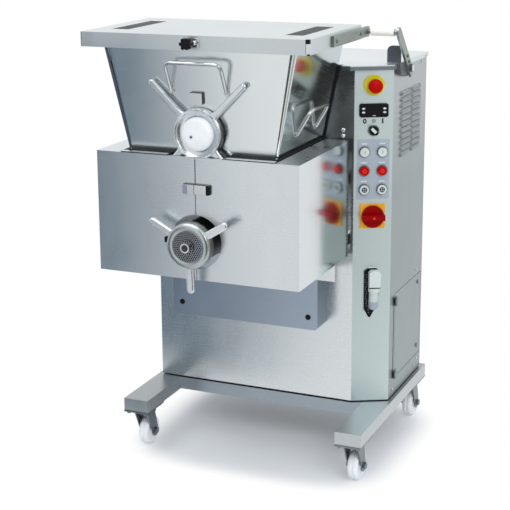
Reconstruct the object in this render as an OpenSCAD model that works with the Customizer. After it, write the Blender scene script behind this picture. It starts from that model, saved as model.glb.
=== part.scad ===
// Refrigerated meat grinder and mixer on a castor frame.
// X runs along the front, Y runs back from the doors, Z runs up from the floor.
// Every place below is first given from the grinding head's centre line and the
// door fronts. home() then puts the middle of the whole machine over the origin.

/* [Base frame] */
// Length of each side leg, front to back
leg_l = 572; // [520:1:640]
// Width of a leg
leg_w = 70; // [60:1:80]
// Height of a leg
leg_h = 34; // [28:1:44]
// Sheet thickness of the legs and beams
leg_t = 3; // [2:0.5:5]
// How far the legs start behind the door fronts
leg_setback = 148; // [120:1:180]
// Depth of a cross beam, front to back
beam_d = 60; // [40:1:80]

/* [Castors] */
// Wheel diameter
wheel_d = 80; // [70:1:88]
// Wheel width
wheel_w = 30; // [24:1:34]
// Height of the legs' underside above the floor
castor_h = 118; // [114:1:140]
// How far the wheel trails behind its swivel
castor_trail = 26; // [20:1:32]
// Sheet thickness of a castor fork
fork_t = 3; // [2:0.5:4]

/* [Cabinet] */
// Reach of the cabinet to the left of the head
cab_left = 284; // [270:1:320]
// Reach of the cabinet to the right of the head
cab_right = 366; // [350:1:400]
// How far the cabinet's front panel stands behind the door fronts
cab_setback = 358; // [340:1:400]
// Depth of the cabinet
cab_d = 340; // [320:1:400]
// Height of the cabinet above its floor plate
cab_h = 897; // [880:1:940]
// Sheet thickness of the panels
sheet_t = 2; // [1.5:0.5:3]
// Width of the slanted control column, along the front
column_w = 88; // [84:1:100]
// Depth of the control column's slant
column_d = 47; // [40:1:56]

/* [Doors] */
// Width over both doors
doors_w = 537; // [500:1:545]
// Height of the doors
doors_h = 305; // [290:1:320]
// Height of the doors' underside above the floor
doors_z = 557; // [550:1:570]
// Diameter of the hole that the grinding head comes through
head_hole_d = 135; // [126:1:150]
// Width of the doors' top rim at the front
rim_front = 8; // [6:0.5:9]
// Length of the latch on each side of the slit
latch_l = 30; // [24:1:40]

/* [Hopper] */
// Width at the top
hopper_top_w = 497; // [460:1:520]
// Width at the foot, where it enters the doors
hopper_foot_w = 392; // [380:1:410]
// How far the top's front edge stands behind the door fronts
hopper_top_y = 22; // [14:1:30]
// How far the foot's front stands behind the door fronts
hopper_foot_y = 42; // [38:1:50]
// Height of the tapered part above the foot
hopper_h = 254; // [230:1:270]
// Radius of the mixing trough's round bottom
trough_r = 140; // [130:1:150]
// Radius of the hopper's upright corners
hopper_corner_r = 14; // [8:1:20]
// Height of the mixer shaft above the hopper's foot
mixer_up = 52; // [46:1:60]

/* [Lid] */
// Width of the lid
lid_w = 592; // [560:1:640]
// Depth of the lid
lid_d = 364; // [340:1:380]
// Height of the lid's rim
lid_h = 36; // [28:1:44]
// How far the lid's front stands out past the door fronts
lid_out = 13; // [6:1:20]
// Bare tube left at each end of the grip sleeve on the lid's lifting tube
sleeve_end = 8; // [6:0.5:12]
// Diameter of the grip sleeve
sleeve_d = 20; // [16:1:26]

/* [Grinding head] */
// Height of the head's axis above the floor
head_z = 653; // [640:1:665]
// Diameter of the perforated plate
plate_d = 82; // [78:1:86]
// Thickness of the perforated plate
plate_t = 12; // [8:1:14]
// Diameter of the plate's small holes
plate_hole_d = 3.2; // [2.5:0.1:3.6]
// Spacing of the plate's small holes
plate_pitch = 5.4; // [5:0.1:7]
// Outside diameter of the ring nut
ring_d = 116; // [112:1:124]
// Depth of the ring nut, front to back
ring_l = 30; // [28:1:34]
// How far the ring nut's face stands out past the door fronts
ring_out = 52; // [50:1:56]
// Reach of the ring nut's arms from the axis
ring_arm_r = 119; // [100:1:125]
// Outside diameter of the barrel
barrel_d = 102; // [98:1:106]
// Diameter of the worm over its flight
worm_d = 74; // [70:1:76]
// Pitch of the worm's flight
worm_pitch = 58; // [45:1:80]

/* [Mixer] */
// Reach of the paddles from the shaft's axis
paddle_r = 124; // [100:1:128]
// Diameter of the mixer shaft
mixer_shaft_d = 30; // [24:1:34]
// Diameter of the white bearing cap at the hopper's front
cap_d = 84; // [76:1:90]
// Outside diameter of the bearing bracket's ring
spider_d = 126; // [120:1:140]
// Reach of the bearing bracket's arms
spider_arm_r = 178; // [150:1:182]

/* [Handles] */
// Rod diameter of the hopper's handles
handle_rod_d = 9; // [7:0.5:12]
// Length of the front handle between its feet
front_handle_l = 146; // [130:1:160]
// How far the front handle stands out from the wall
front_handle_out = 34; // [28:1:44]
// How far the front handle's bar rises above its feet
front_handle_rise = 76; // [60:1:84]
// Length of the side handle between its feet
side_handle_l = 130; // [100:1:150]
// How far the side handle stands out from the wall
side_handle_out = 24; // [20:1:40]
// How far the side handle's bar rises above its feet
side_handle_rise = 66; // [50:1:80]

/* [Controls] */
// How far the emergency stop is below the cabinet's top
estop_down = 51; // [45:1:55]
// How far the thermostat is below the cabinet's top
thermostat_down = 115; // [108:1:120]
// How far the selector is below the cabinet's top
selector_down = 167; // [160:1:172]
// How far the top pair of buttons is below the cabinet's top
button_down = 222; // [214:1:226]
// Spacing of the pairs of buttons
button_pitch = 49; // [44:1:50]
// How far the main switch is below the cabinet's top
switch_down = 391; // [380:1:400]
// How far the supply inlet's middle is above the cabinet's floor
inlet_up = 299; // [280:1:320]
// Diameter of the push buttons' bezels
bezel_d = 29; // [27:0.5:31]
// Travel of a push button
button_travel = 3.5; // [2.5:0.5:3.5]
// Diameter of the emergency stop's yellow disc
estop_disc_d = 53; // [48:1:60]
// Diameter of the emergency stop's mushroom head
estop_head_d = 36; // [34:1:42]
// Travel of the emergency stop
estop_travel = 5; // [3:0.5:6]
// Width of the thermostat's bezel
thermostat_w = 74; // [66:1:78]
// Height of the thermostat's bezel
thermostat_h = 35; // [30:1:38]
// Side of the main switch's yellow plate
switch_plate_w = 64; // [60:1:68]
// Diameter of the main switch's red knob
switch_knob_d = 58; // [50:1:60]
// Width of the supply inlet's opening
inlet_w = 42; // [38:1:46]
// Height of the supply inlet's opening
inlet_h = 137; // [125:1:145]

/* [Right side] */
// Height of the service door
service_h = 238; // [220:1:250]
// Rows of louvres in each of the two columns
louvre_rows = 11; // [8:1:12]
// Spacing of the louvre rows
louvre_pitch = 16; // [14:0.5:17]

/* [Hidden] */

// Overrun of every cut
cut = 1;
// Gap between a turning or sliding piece and what holds it
run_gap = 0.3;
// Gap round a pin in its hole
pin_gap = 0.1;
// Gap between the edges of neighbouring sheets
seam = 0.6;
// Gap between pieces that are pressed together end to end
press_gap = 0.05;

// Levels
leg_top = castor_h + leg_h;
floor_t = 3;
floor_inset = 8;
cab_z = leg_top + floor_t;
cab_top = cab_z + cab_h;
cab_back = cab_setback + cab_d;
doors_top = doors_z + doors_h;
hopper_foot_z = doors_top + sheet_t;
hopper_top_z = hopper_foot_z + hopper_h;
mixer_z = hopper_foot_z + mixer_up;
lid_gap = 1;
lid_z = hopper_top_z + lid_gap;
lid_top = lid_z + lid_h;
column_x = cab_right - column_w;
column_angle = atan2(column_d, column_w);
column_len = norm([column_w, column_d]);
column_mid = column_len / 2;

// The cabinet top's flange and the dark strip below it
top_flange_h = 12;
top_over_front = 20;
top_over_side = 4;
strip_h = 10;
panel_top = cab_top - strip_h;

// The legs' outer sides stand a little past the cabinet
leg_over = 11;
left_leg_x = -cab_left - leg_over;
right_leg_x = cab_right + leg_over - leg_w;
leg_back = leg_setback + leg_l;
beam_front_y = cab_setback - 6;

// Castors
plate_w = 70;
plate_l = 100;
plate_thick = 4;
race_d = 46;
race_h = 8;
kingpin_r = 8;
crown_h = 5;
fork_gap = 2;
fork_top_z = castor_h - plate_thick - race_h;
swivel_in = 48;
axle_d = 10;
axle_head_d = 17;
axle_head_t = 6;
bolt_head_d = 13;
bolt_head_t = 5;
bolt_in = 10;
cheek_x = wheel_w / 2 + fork_gap;
cheek_r = 16;
cheek_top_l = 44;
pedal_l = 34;
pedal_w = 24;
pedal_t = 5;
pedal_pin_r = 3.5;
pedal_pin_y = cheek_top_l / 2 + 10;
pedal_pin_z = fork_top_z - crown_h - 3;
lug_t = 3;

// The lid's pivot on the cabinet's right side
pivot_in = 132;
pivot_y = cab_setback + pivot_in;
pivot_z = cab_top - 18;
arm_t = 6;
arm_w = 26;
arm_x = cab_right + 12;
tube_y = cab_setback + 33;
tube_z = lid_z + 15;
tube_d = 12;

// The whole machine's middle, from the outermost pieces
lid_left = -lid_w / 2;
pivot_bolt_t = 6;
right_most = arm_x + arm_t + pivot_bolt_t;
stub_out = 13;
front_most = -ring_out - stub_out;
home_x = (lid_left + right_most) / 2;
rear_most = leg_back - swivel_in + castor_trail + wheel_d / 2;
home_y = (front_most + rear_most) / 2;

module home() {
    translate([-home_x, -home_y, 0]) children();
}

// A block between two corners
module block(low, high) {
    translate(low) cube(high - low);
}

// A round bar along Y or along X, from one value to another
module bar_y(r, from, to) {
    translate([0, from, 0]) rotate([-90, 0, 0]) cylinder(r = r, h = to - from);
}
module bar_x(r, from, to) {
    translate([from, 0, 0]) rotate([0, 90, 0]) cylinder(r = r, h = to - from);
}

// A closed box section with walls of one thickness
module box_section(low, high, wall) {
    inset = [wall, wall, wall];
    difference() {
        block(low, high);
        block(low + inset, high - inset);
    }
}

$fn = 48;

// Base frame

module legs() {
    color("lightsteelblue") home() for (x = [left_leg_x, right_leg_x])
        box_section([x, leg_setback, castor_h], [x + leg_w, leg_back, leg_top], leg_t);
}

module cross_beams() {
    color("lightsteelblue") home() for (y = [beam_front_y, cab_back - beam_d])
        box_section([left_leg_x + leg_w, y, castor_h],
                    [right_leg_x, y + beam_d, leg_top], leg_t);
}

// Castors

function leg_mid(right) = (right ? right_leg_x : left_leg_x) + leg_w / 2;
function swivel_y(rear) = rear ? leg_back - swivel_in : leg_setback + swivel_in;

module at_castor(right, rear) {
    home() translate([leg_mid(right), swivel_y(rear), 0]) children();
}

module castor_plate() {
    translate([0, 0, castor_h - plate_thick]) difference() {
        translate([-plate_w / 2, -plate_l / 2, 0]) cube([plate_w, plate_l, plate_thick]);
        translate([0, 0, -cut]) cylinder(r = kingpin_r + pin_gap, h = plate_thick + 2 * cut);
    }
    for (sx = [-1, 1], sy = [-1, 1])
        translate([sx * (plate_w / 2 - bolt_in), sy * (plate_l / 2 - bolt_in),
                   castor_h - plate_thick - bolt_head_t])
            cylinder(d = bolt_head_d, h = bolt_head_t, $fn = 6);
}

module castor_plates() {
    color("silver")
        for (right = [false, true], rear = [false, true])
            at_castor(right, rear) castor_plate();
}

// The fork hangs below the plate, its cheeks reach back to the axle
module cheek_outline() {
    polygon([[-cheek_top_l / 2, fork_top_z], [cheek_top_l / 2, fork_top_z],
             [castor_trail + cheek_r, wheel_d / 2], [castor_trail, wheel_d / 2 - cheek_r],
             [castor_trail - cheek_r, wheel_d / 2]]);
    translate([castor_trail, wheel_d / 2]) circle(r = cheek_r);
}

module cheek(x) {
    translate([x, 0, 0]) rotate([90, 0, 90]) linear_extrude(fork_t) cheek_outline();
}

module castor_fork(right, rear) {
    color("dimgray") at_castor(right, rear) {
        translate([0, 0, fork_top_z]) cylinder(d = race_d, h = race_h - run_gap);
        translate([0, 0, fork_top_z]) cylinder(r = kingpin_r, h = race_h + plate_thick - run_gap);
        if (!rear) for (side = [0, 1]) mirror([side, 0, 0]) pedal_lug();
        translate([-cheek_x - fork_t, -cheek_top_l / 2, fork_top_z - crown_h])
            cube([2 * (cheek_x + fork_t), cheek_top_l, crown_h]);
        cheek(-cheek_x - fork_t);
        cheek(cheek_x);
        translate([0, castor_trail, wheel_d / 2]) {
            bar_x(axle_d / 2, -cheek_x - fork_t, cheek_x + fork_t);
            for (side = [0, 1]) mirror([side, 0, 0])
                bar_x(axle_head_d / 2, cheek_x + fork_t, cheek_x + fork_t + axle_head_t);
        }
    }
}

module castor_fork_fl() { castor_fork(false, false); }
module castor_fork_fr() { castor_fork(true, false); }
module castor_fork_rl() { castor_fork(false, true); }
module castor_fork_rr() { castor_fork(true, true); }

// A lug at the front forks' back that holds one end of the brake pedal's pin
module pedal_lug() {
    x = pedal_w / 2 + run_gap;
    difference() {
        block([x, cheek_top_l / 2 - cut, pedal_pin_z - 2 * pedal_pin_r],
              [x + lug_t, pedal_pin_y + 2 * pedal_pin_r, fork_top_z]);
        translate([0, pedal_pin_y, pedal_pin_z])
            bar_x(pedal_pin_r + pin_gap, x - cut, x + lug_t + cut);
    }
}

tread_edge = 5;

module wheel_outline() {
    half = wheel_w / 2;
    polygon([[axle_d / 2 + pin_gap, -half], [wheel_d / 2 - tread_edge, -half],
             [wheel_d / 2, -half + tread_edge], [wheel_d / 2, half - tread_edge],
             [wheel_d / 2 - tread_edge, half], [axle_d / 2 + pin_gap, half]]);
}

module castor_wheel(right, rear) {
    color("white") at_castor(right, rear)
        translate([0, castor_trail, wheel_d / 2]) rotate([0, 90, 0])
            rotate_extrude() wheel_outline();
}

module castor_wheel_fl() { castor_wheel(false, false); }
module castor_wheel_fr() { castor_wheel(true, false); }
module castor_wheel_rl() { castor_wheel(false, true); }
module castor_wheel_rr() { castor_wheel(true, true); }

// The brake pedal turns on a pin along X at the fork's rear
module brake_pedal(right) {
    color("dimgray") at_castor(right, false)
        translate([0, pedal_pin_y, pedal_pin_z]) {
            bar_x(pedal_pin_r, -pedal_w / 2 - run_gap - lug_t, pedal_w / 2 + run_gap + lug_t);
            translate([-pedal_w / 2, 0, -pedal_t / 2]) cube([pedal_w, pedal_l, pedal_t]);
        }
}

module brake_pedal_fl() { brake_pedal(false); }
module brake_pedal_fr() { brake_pedal(true); }

// Cabinet

// The cabinet's outline from above, drawn in by one distance on every side
module cabinet_outline(inset) {
    slant_y = inset * (1 - sin(column_angle)) / cos(column_angle);
    polygon([[-cab_left + inset, cab_setback + inset],
             [column_x - inset * tan(column_angle / 2), cab_setback + inset],
             [cab_right - inset, cab_setback + column_d + slant_y],
             [cab_right - inset, cab_back - inset], [-cab_left + inset, cab_back - inset]]);
}

module cabinet_floor() {
    color("gray") home() {
        translate([0, 0, leg_top]) linear_extrude(floor_t) cabinet_outline(floor_inset);
        translate([0, 0, cab_z]) linear_extrude(sheet_t) cabinet_outline(sheet_t);
    }
}

// Shaft holes that the front panel and the hopper's rear wall share
worm_pin_r = 15;
mixer_hole_r = mixer_shaft_d / 2 + 3;
head_shaft_hole_r = worm_pin_r + 3;

module front_panel() {
    color("lightsteelblue") home() difference() {
        block([-cab_left, cab_setback, cab_z], [column_x, cab_setback + sheet_t, panel_top]);
        translate([0, 0, head_z])
            bar_y(head_shaft_hole_r, cab_setback - cut, cab_setback + sheet_t + cut);
        translate([0, 0, mixer_z])
            bar_y(mixer_hole_r, cab_setback - cut, cab_setback + sheet_t + cut);
    }
}

// One bent sheet for the left side and the back
module cabinet_wrap() {
    color("lightsteelblue") home() {
        block([-cab_left, cab_setback + sheet_t, cab_z],
              [-cab_left + sheet_t, cab_back, panel_top]);
        block([-cab_left, cab_back - sheet_t, cab_z], [cab_right, cab_back, panel_top]);
    }
}

// The service door's opening and the louvres in the right side. Both follow the
// cabinet's depth.
service_y = cab_setback + column_d + 46;
service_l = cab_d - 102;
service_z = cab_z + 45;
service_gap = 1.5;
louvre_y = service_y + 14;
louvre_l = (service_l - 74) / 2;
louvre_gap = 11;
louvre_down = 63;
louvre_z = panel_top - louvre_down - louvre_rows * louvre_pitch;
louvre_h = 5;
hinge_pin_r = 2.5;
hinge_r = 4.5;
hinge_h = 16;
hinge_x = cab_right + hinge_r + 2 * run_gap;
hinge_y = service_y - hinge_r;
hinge_up_share = 0.88;
hinge_low_share = 0.02;
service_hinge_zs = [service_z + service_h * hinge_low_share, service_z + service_h * hinge_up_share];

module right_panel() {
    y_front = cab_setback + column_d;
    color("lightsteelblue") home() {
        difference() {
            block([cab_right - sheet_t, y_front, cab_z],
                  [cab_right, cab_back - sheet_t, panel_top]);
            block([cab_right - sheet_t - cut, service_y, service_z],
                  [cab_right + cut, service_y + service_l, service_z + service_h]);
            for (column = [0, 1], row = [0 : louvre_rows - 1])
                translate([cab_right - sheet_t - cut,
                           louvre_y + column * (louvre_l + louvre_gap),
                           louvre_z + row * louvre_pitch])
                    cube([sheet_t + 2 * cut, louvre_l, louvre_h]);
        }
        for (z = service_hinge_zs) {
            translate([hinge_x, hinge_y, z - hinge_h / 4])
                cylinder(r = hinge_pin_r, h = hinge_h * 1.5);
            translate([hinge_x, hinge_y, z - hinge_h / 4]) cylinder(r = hinge_r, h = hinge_h / 4);
            block([cab_right, hinge_y - hinge_r, z - hinge_h / 4], [hinge_x, hinge_y, z]);
        }
    }
}

lock_r = 6;
lock_t = 3;
lock_in = 26;

module service_door() {
    x_in = cab_right - sheet_t;
    color("lightsteelblue") home() {
        block([x_in, service_y + service_gap, service_z + service_gap],
              [cab_right, service_y + service_l - service_gap,
               service_z + service_h - service_gap]);
        for (z = service_hinge_zs) difference() {
            union() {
                translate([hinge_x, hinge_y, z + run_gap])
                    cylinder(r = hinge_r, h = hinge_h - run_gap);
                block([cab_right + run_gap, hinge_y, z + run_gap],
                      [cab_right + hinge_pin_r, service_y + hinge_h, z + hinge_h]);
                block([cab_right - sheet_t / 2, service_y + service_gap, z + run_gap],
                      [cab_right + hinge_pin_r, service_y + hinge_h, z + hinge_h]);
            }
            translate([hinge_x, hinge_y, z - cut])
                cylinder(r = hinge_pin_r + pin_gap, h = hinge_h + 2 * cut);
        }
        for (z = [service_z + lock_in, service_z + service_h - lock_in])
            translate([0, service_y + service_l - lock_in, z])
                bar_x(lock_r, cab_right, cab_right + lock_t);
    }
}

stop_w = 36;
stop_h = 44;
stop_t = 4;
stop_x = cab_right - 15;
stop_y = cab_setback + 92;

module top_plan(inset) {
    front = cab_setback - top_over_front + inset;
    left = -cab_left - top_over_side + inset;
    side = cab_right + top_over_side - inset;
    back = cab_back + top_over_side - inset;
    polygon([[left, front], [column_x - (top_over_front - inset) * tan(column_angle / 2), front],
             [side, cab_setback + column_d - top_over_front / 2 + inset], [side, back], [left, back]]);
}

// Everything behind the line of the front panel and the column's face
module behind_front(shift) {
    y_front = cab_setback + shift;
    side = cab_right + 2 * top_over_side;
    y_back = cab_back + 2 * top_over_side;
    polygon([[-cab_left - 2 * top_over_side, y_front], [column_x, y_front],
             [side, y_front + (side - column_x) * tan(column_angle)],
             [side, y_back], [-cab_left - 2 * top_over_side, y_back]]);
}

// The lip in front, right of the hopper and along the column
module lip_plan() {
    difference() {
        top_plan(0);
        behind_front(-press_gap);
        translate([-cab_left * 2, 0]) square([cab_left * 2 + hopper_top_w / 2 + cut, cab_setback]);
    }
}

// Plate with a slot for the lid's stop, the flange down its sides and back, the
// recessed frame it rests on, and the bent lip welded to its front edge
module cabinet_top() {
    under = cab_top - sheet_t;
    frame_w = 20;
    flange_h = top_flange_h - sheet_t;
    flange_y = cab_setback + column_d + top_over_side;
    color("gainsboro") home() {
        translate([0, 0, under]) linear_extrude(sheet_t) difference() {
            intersection() {
                top_plan(0);
                behind_front(0);
            }
            translate([stop_x - stop_w / 2 - seam, stop_y - seam])
                square([stop_w * 2, stop_t + 2 * seam]);
        }
        for (x = [-cab_left - top_over_side, cab_right + top_over_side - sheet_t])
            block([x, flange_y, cab_top - top_flange_h],
                  [x + sheet_t, cab_back + top_over_side, under]);
        block([-cab_left - top_over_side, cab_back + top_over_side - sheet_t,
               cab_top - top_flange_h],
              [cab_right + top_over_side, cab_back + top_over_side, under]);
        translate([0, 0, panel_top]) linear_extrude(strip_h - sheet_t) difference() {
            cabinet_outline(0);
            cabinet_outline(frame_w);
        }
        translate([0, 0, under]) linear_extrude(sheet_t) lip_plan();
        translate([0, 0, cab_top - top_flange_h]) linear_extrude(flange_h) difference() {
            lip_plan();
            top_plan(sheet_t);
        }
    }
}

// Control column. Local X runs along its slanted face from the left edge, local -Y
// points out at the operator, and Z is the height above the floor.
module on_column(s, z) {
    home() translate([column_x, cab_setback, z]) rotate([0, 0, column_angle])
        translate([s, 0, 0]) children();
}

estop_z = cab_top - estop_down;
thermostat_z = cab_top - thermostat_down;
selector_z = cab_top - selector_down;
button_zs = [for (row = [0 : 2]) cab_top - button_down - row * button_pitch];
button_half = 23;
main_switch_z = cab_top - switch_down;
inlet_z = cab_z + inlet_up;
shank_r = 11;
shank_hole_r = shank_r + pin_gap;
stem_r = 8;
shank_l = 26;
thermostat_in = 3;
thermostat_depth = 40;
switch_boss_r = 20;
inlet_cut = 5;

module shank_hole(s, z) {
    translate([s, 0, z]) bar_y(shank_hole_r, -cut, sheet_t + cut);
}

module control_column() {
    color("lightsteelblue") on_column(0, 0) difference() {
        translate([0, 0, cab_z]) linear_extrude(panel_top - cab_z)
            polygon([[0, 0], [column_len, 0], [column_len - sheet_t / tan(column_angle), sheet_t],
                     [sheet_t * tan(column_angle), sheet_t]]);
        shank_hole(column_mid, estop_z);
        shank_hole(column_mid, selector_z);
        for (side = [-1, 1], z = button_zs) shank_hole(column_mid + side * button_half, z);
        translate([column_mid, 0, main_switch_z])
            bar_y(switch_boss_r + pin_gap, -cut, sheet_t + cut);
        block([column_mid - thermostat_w / 2 + thermostat_in, -cut,
               thermostat_z - thermostat_h / 2 + thermostat_in],
              [column_mid + thermostat_w / 2 - thermostat_in, sheet_t + cut,
               thermostat_z + thermostat_h / 2 - thermostat_in]);
        block([column_mid - inlet_w / 2 + inlet_cut, -cut, inlet_z - inlet_h / 2 + inlet_cut],
              [column_mid + inlet_w / 2 - inlet_cut, sheet_t + cut,
               inlet_z + inlet_h / 2 - inlet_cut]);
    }
}

disc_t = 3;

// The yellow disc of the emergency stop and the yellow plate of the main switch
module switch_backplates() {
    w = switch_plate_w / 2;
    color("gold") {
        on_column(column_mid, estop_z) difference() {
            bar_y(estop_disc_d / 2, -disc_t, 0);
            bar_y(shank_hole_r, -disc_t - cut, cut);
        }
        on_column(column_mid, main_switch_z) difference() {
            union() {
                block([-w, -disc_t, -w], [w, 0, w]);
                bar_y(switch_boss_r, -cut, 2 * shank_l);
            }
            bar_y(stem_r + run_gap, -disc_t - cut, shank_l);
        }
    }
}

// A fixed ring with its threaded shank through the column, bored for a stem
bezel_h = 4;
bezel_floor = 1;
bezel_wall = 2.5;

module bezel(r, wall, h) {
    difference() {
        union() {
            bar_y(r, -h, 0);
            bar_y(shank_r, -cut, shank_l);
        }
        bar_y(r - wall, -h - cut, -bezel_floor);
        bar_y(stem_r + run_gap, -h - cut, shank_l + cut);
    }
}

collar_h = 9;
collar_r = 15;

module switch_bezels() {
    color("silver") {
        for (side = [-1, 1], z = button_zs)
            on_column(column_mid + side * button_half, z) bezel(bezel_d / 2, bezel_wall, bezel_h);
        on_column(column_mid, selector_z) bezel(bezel_d / 2, bezel_wall, bezel_h);
        on_column(column_mid, estop_z) translate([0, -disc_t, 0]) difference() {
            union() {
                bar_y(collar_r, -collar_h, 0);
                bar_y(shank_r, -cut, shank_l);
            }
            bar_y(stem_r + run_gap, -collar_h - cut, shank_l + cut);
        }
    }
}

button_h = 5;
button_out = bezel_floor + run_gap + button_travel;

module push_button(side, row) {
    on_column(column_mid + side * button_half, button_zs[row]) {
        bar_y(bezel_d / 2 - bezel_wall - run_gap, -button_out - button_h, -button_out);
        bar_y(stem_r, -button_out - cut, shank_l);
    }
}

module button_a1() { color("white") push_button(-1, 0); }
module button_b1() { color("white") push_button(1, 0); }
module button_a2() { color("red") push_button(-1, 1); }
module button_b2() { color("red") push_button(1, 1); }
module button_a3() { color("white") push_button(-1, 2); }
module button_b3() { color("white") push_button(1, 2); }

estop_head_h = 9;
estop_dome_h = 6;

module estop_button() {
    under = disc_t + collar_h + run_gap + estop_travel;
    dome_r = (pow(estop_head_d / 2, 2) + pow(estop_dome_h, 2)) / (2 * estop_dome_h);
    color("red") on_column(column_mid, estop_z) {
        bar_y(estop_head_d / 2, -under - estop_head_h, -under);
        intersection() {
            translate([0, -under - estop_head_h - estop_dome_h + dome_r, 0]) sphere(r = dome_r);
            bar_y(estop_head_d / 2, -under - estop_head_h - 2 * estop_dome_h,
                  -under - estop_head_h / 2);
        }
        bar_y(stem_r, -under - cut, shank_l - disc_t);
    }
}

module thermostat() {
    w = thermostat_w / 2;
    h = thermostat_h / 2;
    face_t = 5;
    slope = 4;
    color("black") on_column(column_mid, thermostat_z) {
        rotate([90, 0, 0]) linear_extrude(face_t)
            polygon([[-w + slope, -h], [w - slope, -h], [w, -h + slope], [w, h - slope],
                     [w - slope, h], [-w + slope, h], [-w, h - slope], [-w, -h + slope]]);
        block([-w + thermostat_in + run_gap, 0, -h + thermostat_in + run_gap],
              [w - thermostat_in - run_gap, thermostat_depth, h - thermostat_in - run_gap]);
    }
}

selector_grip_w = 8;
selector_grip_h = 15;
selector_turn = 45;

// The grip points to the upper left at rest
module selector_knob() {
    r = bezel_d / 2 - bezel_wall - run_gap;
    base = bezel_floor + run_gap;
    color("whitesmoke") on_column(column_mid, selector_z) {
        bar_y(r, -base - bezel_h, -base);
        rotate([0, -selector_turn, 0])
            block([-selector_grip_w / 2, -base - selector_grip_h, -r],
                  [selector_grip_w / 2, -base - bezel_h + cut, r]);
        bar_y(stem_r, -base - cut, shank_l);
    }
}

knob_base_t = 9;
knob_grip_w = 15;
knob_grip_h = 17;

// The grip bar points to the right at rest
module main_switch_knob() {
    base = disc_t + run_gap;
    r = switch_knob_d / 2;
    color("red") on_column(column_mid, main_switch_z) {
        bar_y(r, -base - knob_base_t, -base);
        block([-r, -base - knob_base_t - knob_grip_h, -knob_grip_w / 2],
              [r, -base - knob_base_t + cut, knob_grip_w / 2]);
        bar_y(stem_r, -base - cut, shank_l - cut);
    }
}

// Supply inlet: a frame with a low body whose lower half slants out as a capped socket
inlet_frame_t = 3;
inlet_taper = 9;
inlet_body_w = 26;
inlet_body_out = 24;
inlet_body_share = 0.42;
inlet_cap_share = 0.86;
inlet_angle = 16;

module supply_inlet() {
    w = inlet_w / 2;
    h = inlet_h / 2;
    top_z = h - inlet_taper;
    color("whitesmoke") on_column(column_mid, inlet_z) {
        rotate([90, 0, 0]) linear_extrude(inlet_frame_t)
            polygon([[-w + inlet_taper, h], [w - inlet_taper, h], [w, top_z],
                     [w, -h + 2 * inlet_taper], [inlet_taper / 2, -h], [-inlet_taper / 2, -h],
                     [-w, -h + 2 * inlet_taper], [-w, top_z]]);
        block([-w + inlet_cut + run_gap, 0, -h + inlet_cut + run_gap],
              [w - inlet_cut - run_gap, shank_l, h - inlet_cut - run_gap]);
        block([-inlet_body_w / 2, -inlet_body_out, h * inlet_body_share - inlet_taper],
              [inlet_body_w / 2, -inlet_frame_t, top_z]);
        translate([0, -inlet_body_out / 2, h * inlet_body_share]) rotate([180 + inlet_angle, 0, 0])
            cylinder(d = inlet_body_w, h = h * inlet_cap_share);
    }
}

// Covers under the doors

evaporator_d = 108;
evaporator_h = 43;

evaporator_taper = 62;

module casing_outline(inset) {
    w = doors_w / 2 - inset;
    polygon([[-w, cab_setback - evaporator_d + inset], [w, cab_setback - evaporator_d + inset],
             [w - evaporator_taper, cab_setback + inset],
             [-w + evaporator_taper, cab_setback + inset]]);
}

// Seen from above it narrows towards the cabinet, and it is open at the back
module evaporator_casing() {
    color("silver") home() translate([0, 0, doors_z - cut - evaporator_h]) difference() {
        linear_extrude(evaporator_h) casing_outline(0);
        translate([0, 0, sheet_t]) linear_extrude(evaporator_h - 2 * sheet_t)
            casing_outline(sheet_t);
    }
}

cover_w = 416;
cover_h = 149;
cover_d = 72;
cover_r = 9;

module cover_outline(inset) {
    w = cover_w / 2 - inset;
    z_top = doors_z - cut - evaporator_h - inset;
    z_low = doors_z - cut - evaporator_h - cover_h + inset;
    translate([-w, z_low + cover_r]) square([2 * w, z_top - z_low - cover_r]);
    translate([-w + cover_r, z_low]) square([2 * (w - cover_r), 2 * cover_r]);
    for (side = [-1, 1]) translate([side * (w - cover_r), z_low + cover_r]) circle(r = cover_r);
}

module bracket_cover() {
    color("lightsteelblue") home() translate([0, cab_setback, 0]) rotate([90, 0, 0]) difference() {
        linear_extrude(cover_d) cover_outline(0);
        translate([0, 0, -cut]) linear_extrude(cover_d - sheet_t + cut) cover_outline(sheet_t);
    }
}

// Hopper. Its walls taper from the top to the foot, and below the foot the floor
// slopes in to a round trough about the mixer shaft.

wall = sheet_t;
outlet_w = 112;
outlet_l = 140;
outlet_back = cab_setback - 28;
outlet_front = outlet_back - outlet_l;

module corner_post(x, y, z, r) {
    translate([x, y, z]) cylinder(r = r, h = seam / 10, $fn = 32);
}

module tapered_body(inset, up) {
    top_x = hopper_top_w / 2 - inset;
    foot_x = hopper_foot_w / 2 - inset;
    r = hopper_corner_r - inset;
    foot_r = r / 2;
    hull() {
        for (side = [-1, 1]) {
            corner_post(side * (top_x - r), hopper_top_y + inset + r, hopper_top_z + up, r);
            corner_post(side * (foot_x - foot_r), hopper_foot_y + inset + foot_r,
                        hopper_foot_z, foot_r);
            translate([side * (top_x - sheet_t) - sheet_t, cab_setback - inset - sheet_t,
                       hopper_top_z + up]) cube([2 * sheet_t, sheet_t, seam / 10]);
            translate([side * (foot_x - sheet_t) - sheet_t, cab_setback - inset - sheet_t,
                       hopper_foot_z]) cube([2 * sheet_t, sheet_t, seam / 10]);
        }
    }
}

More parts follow.
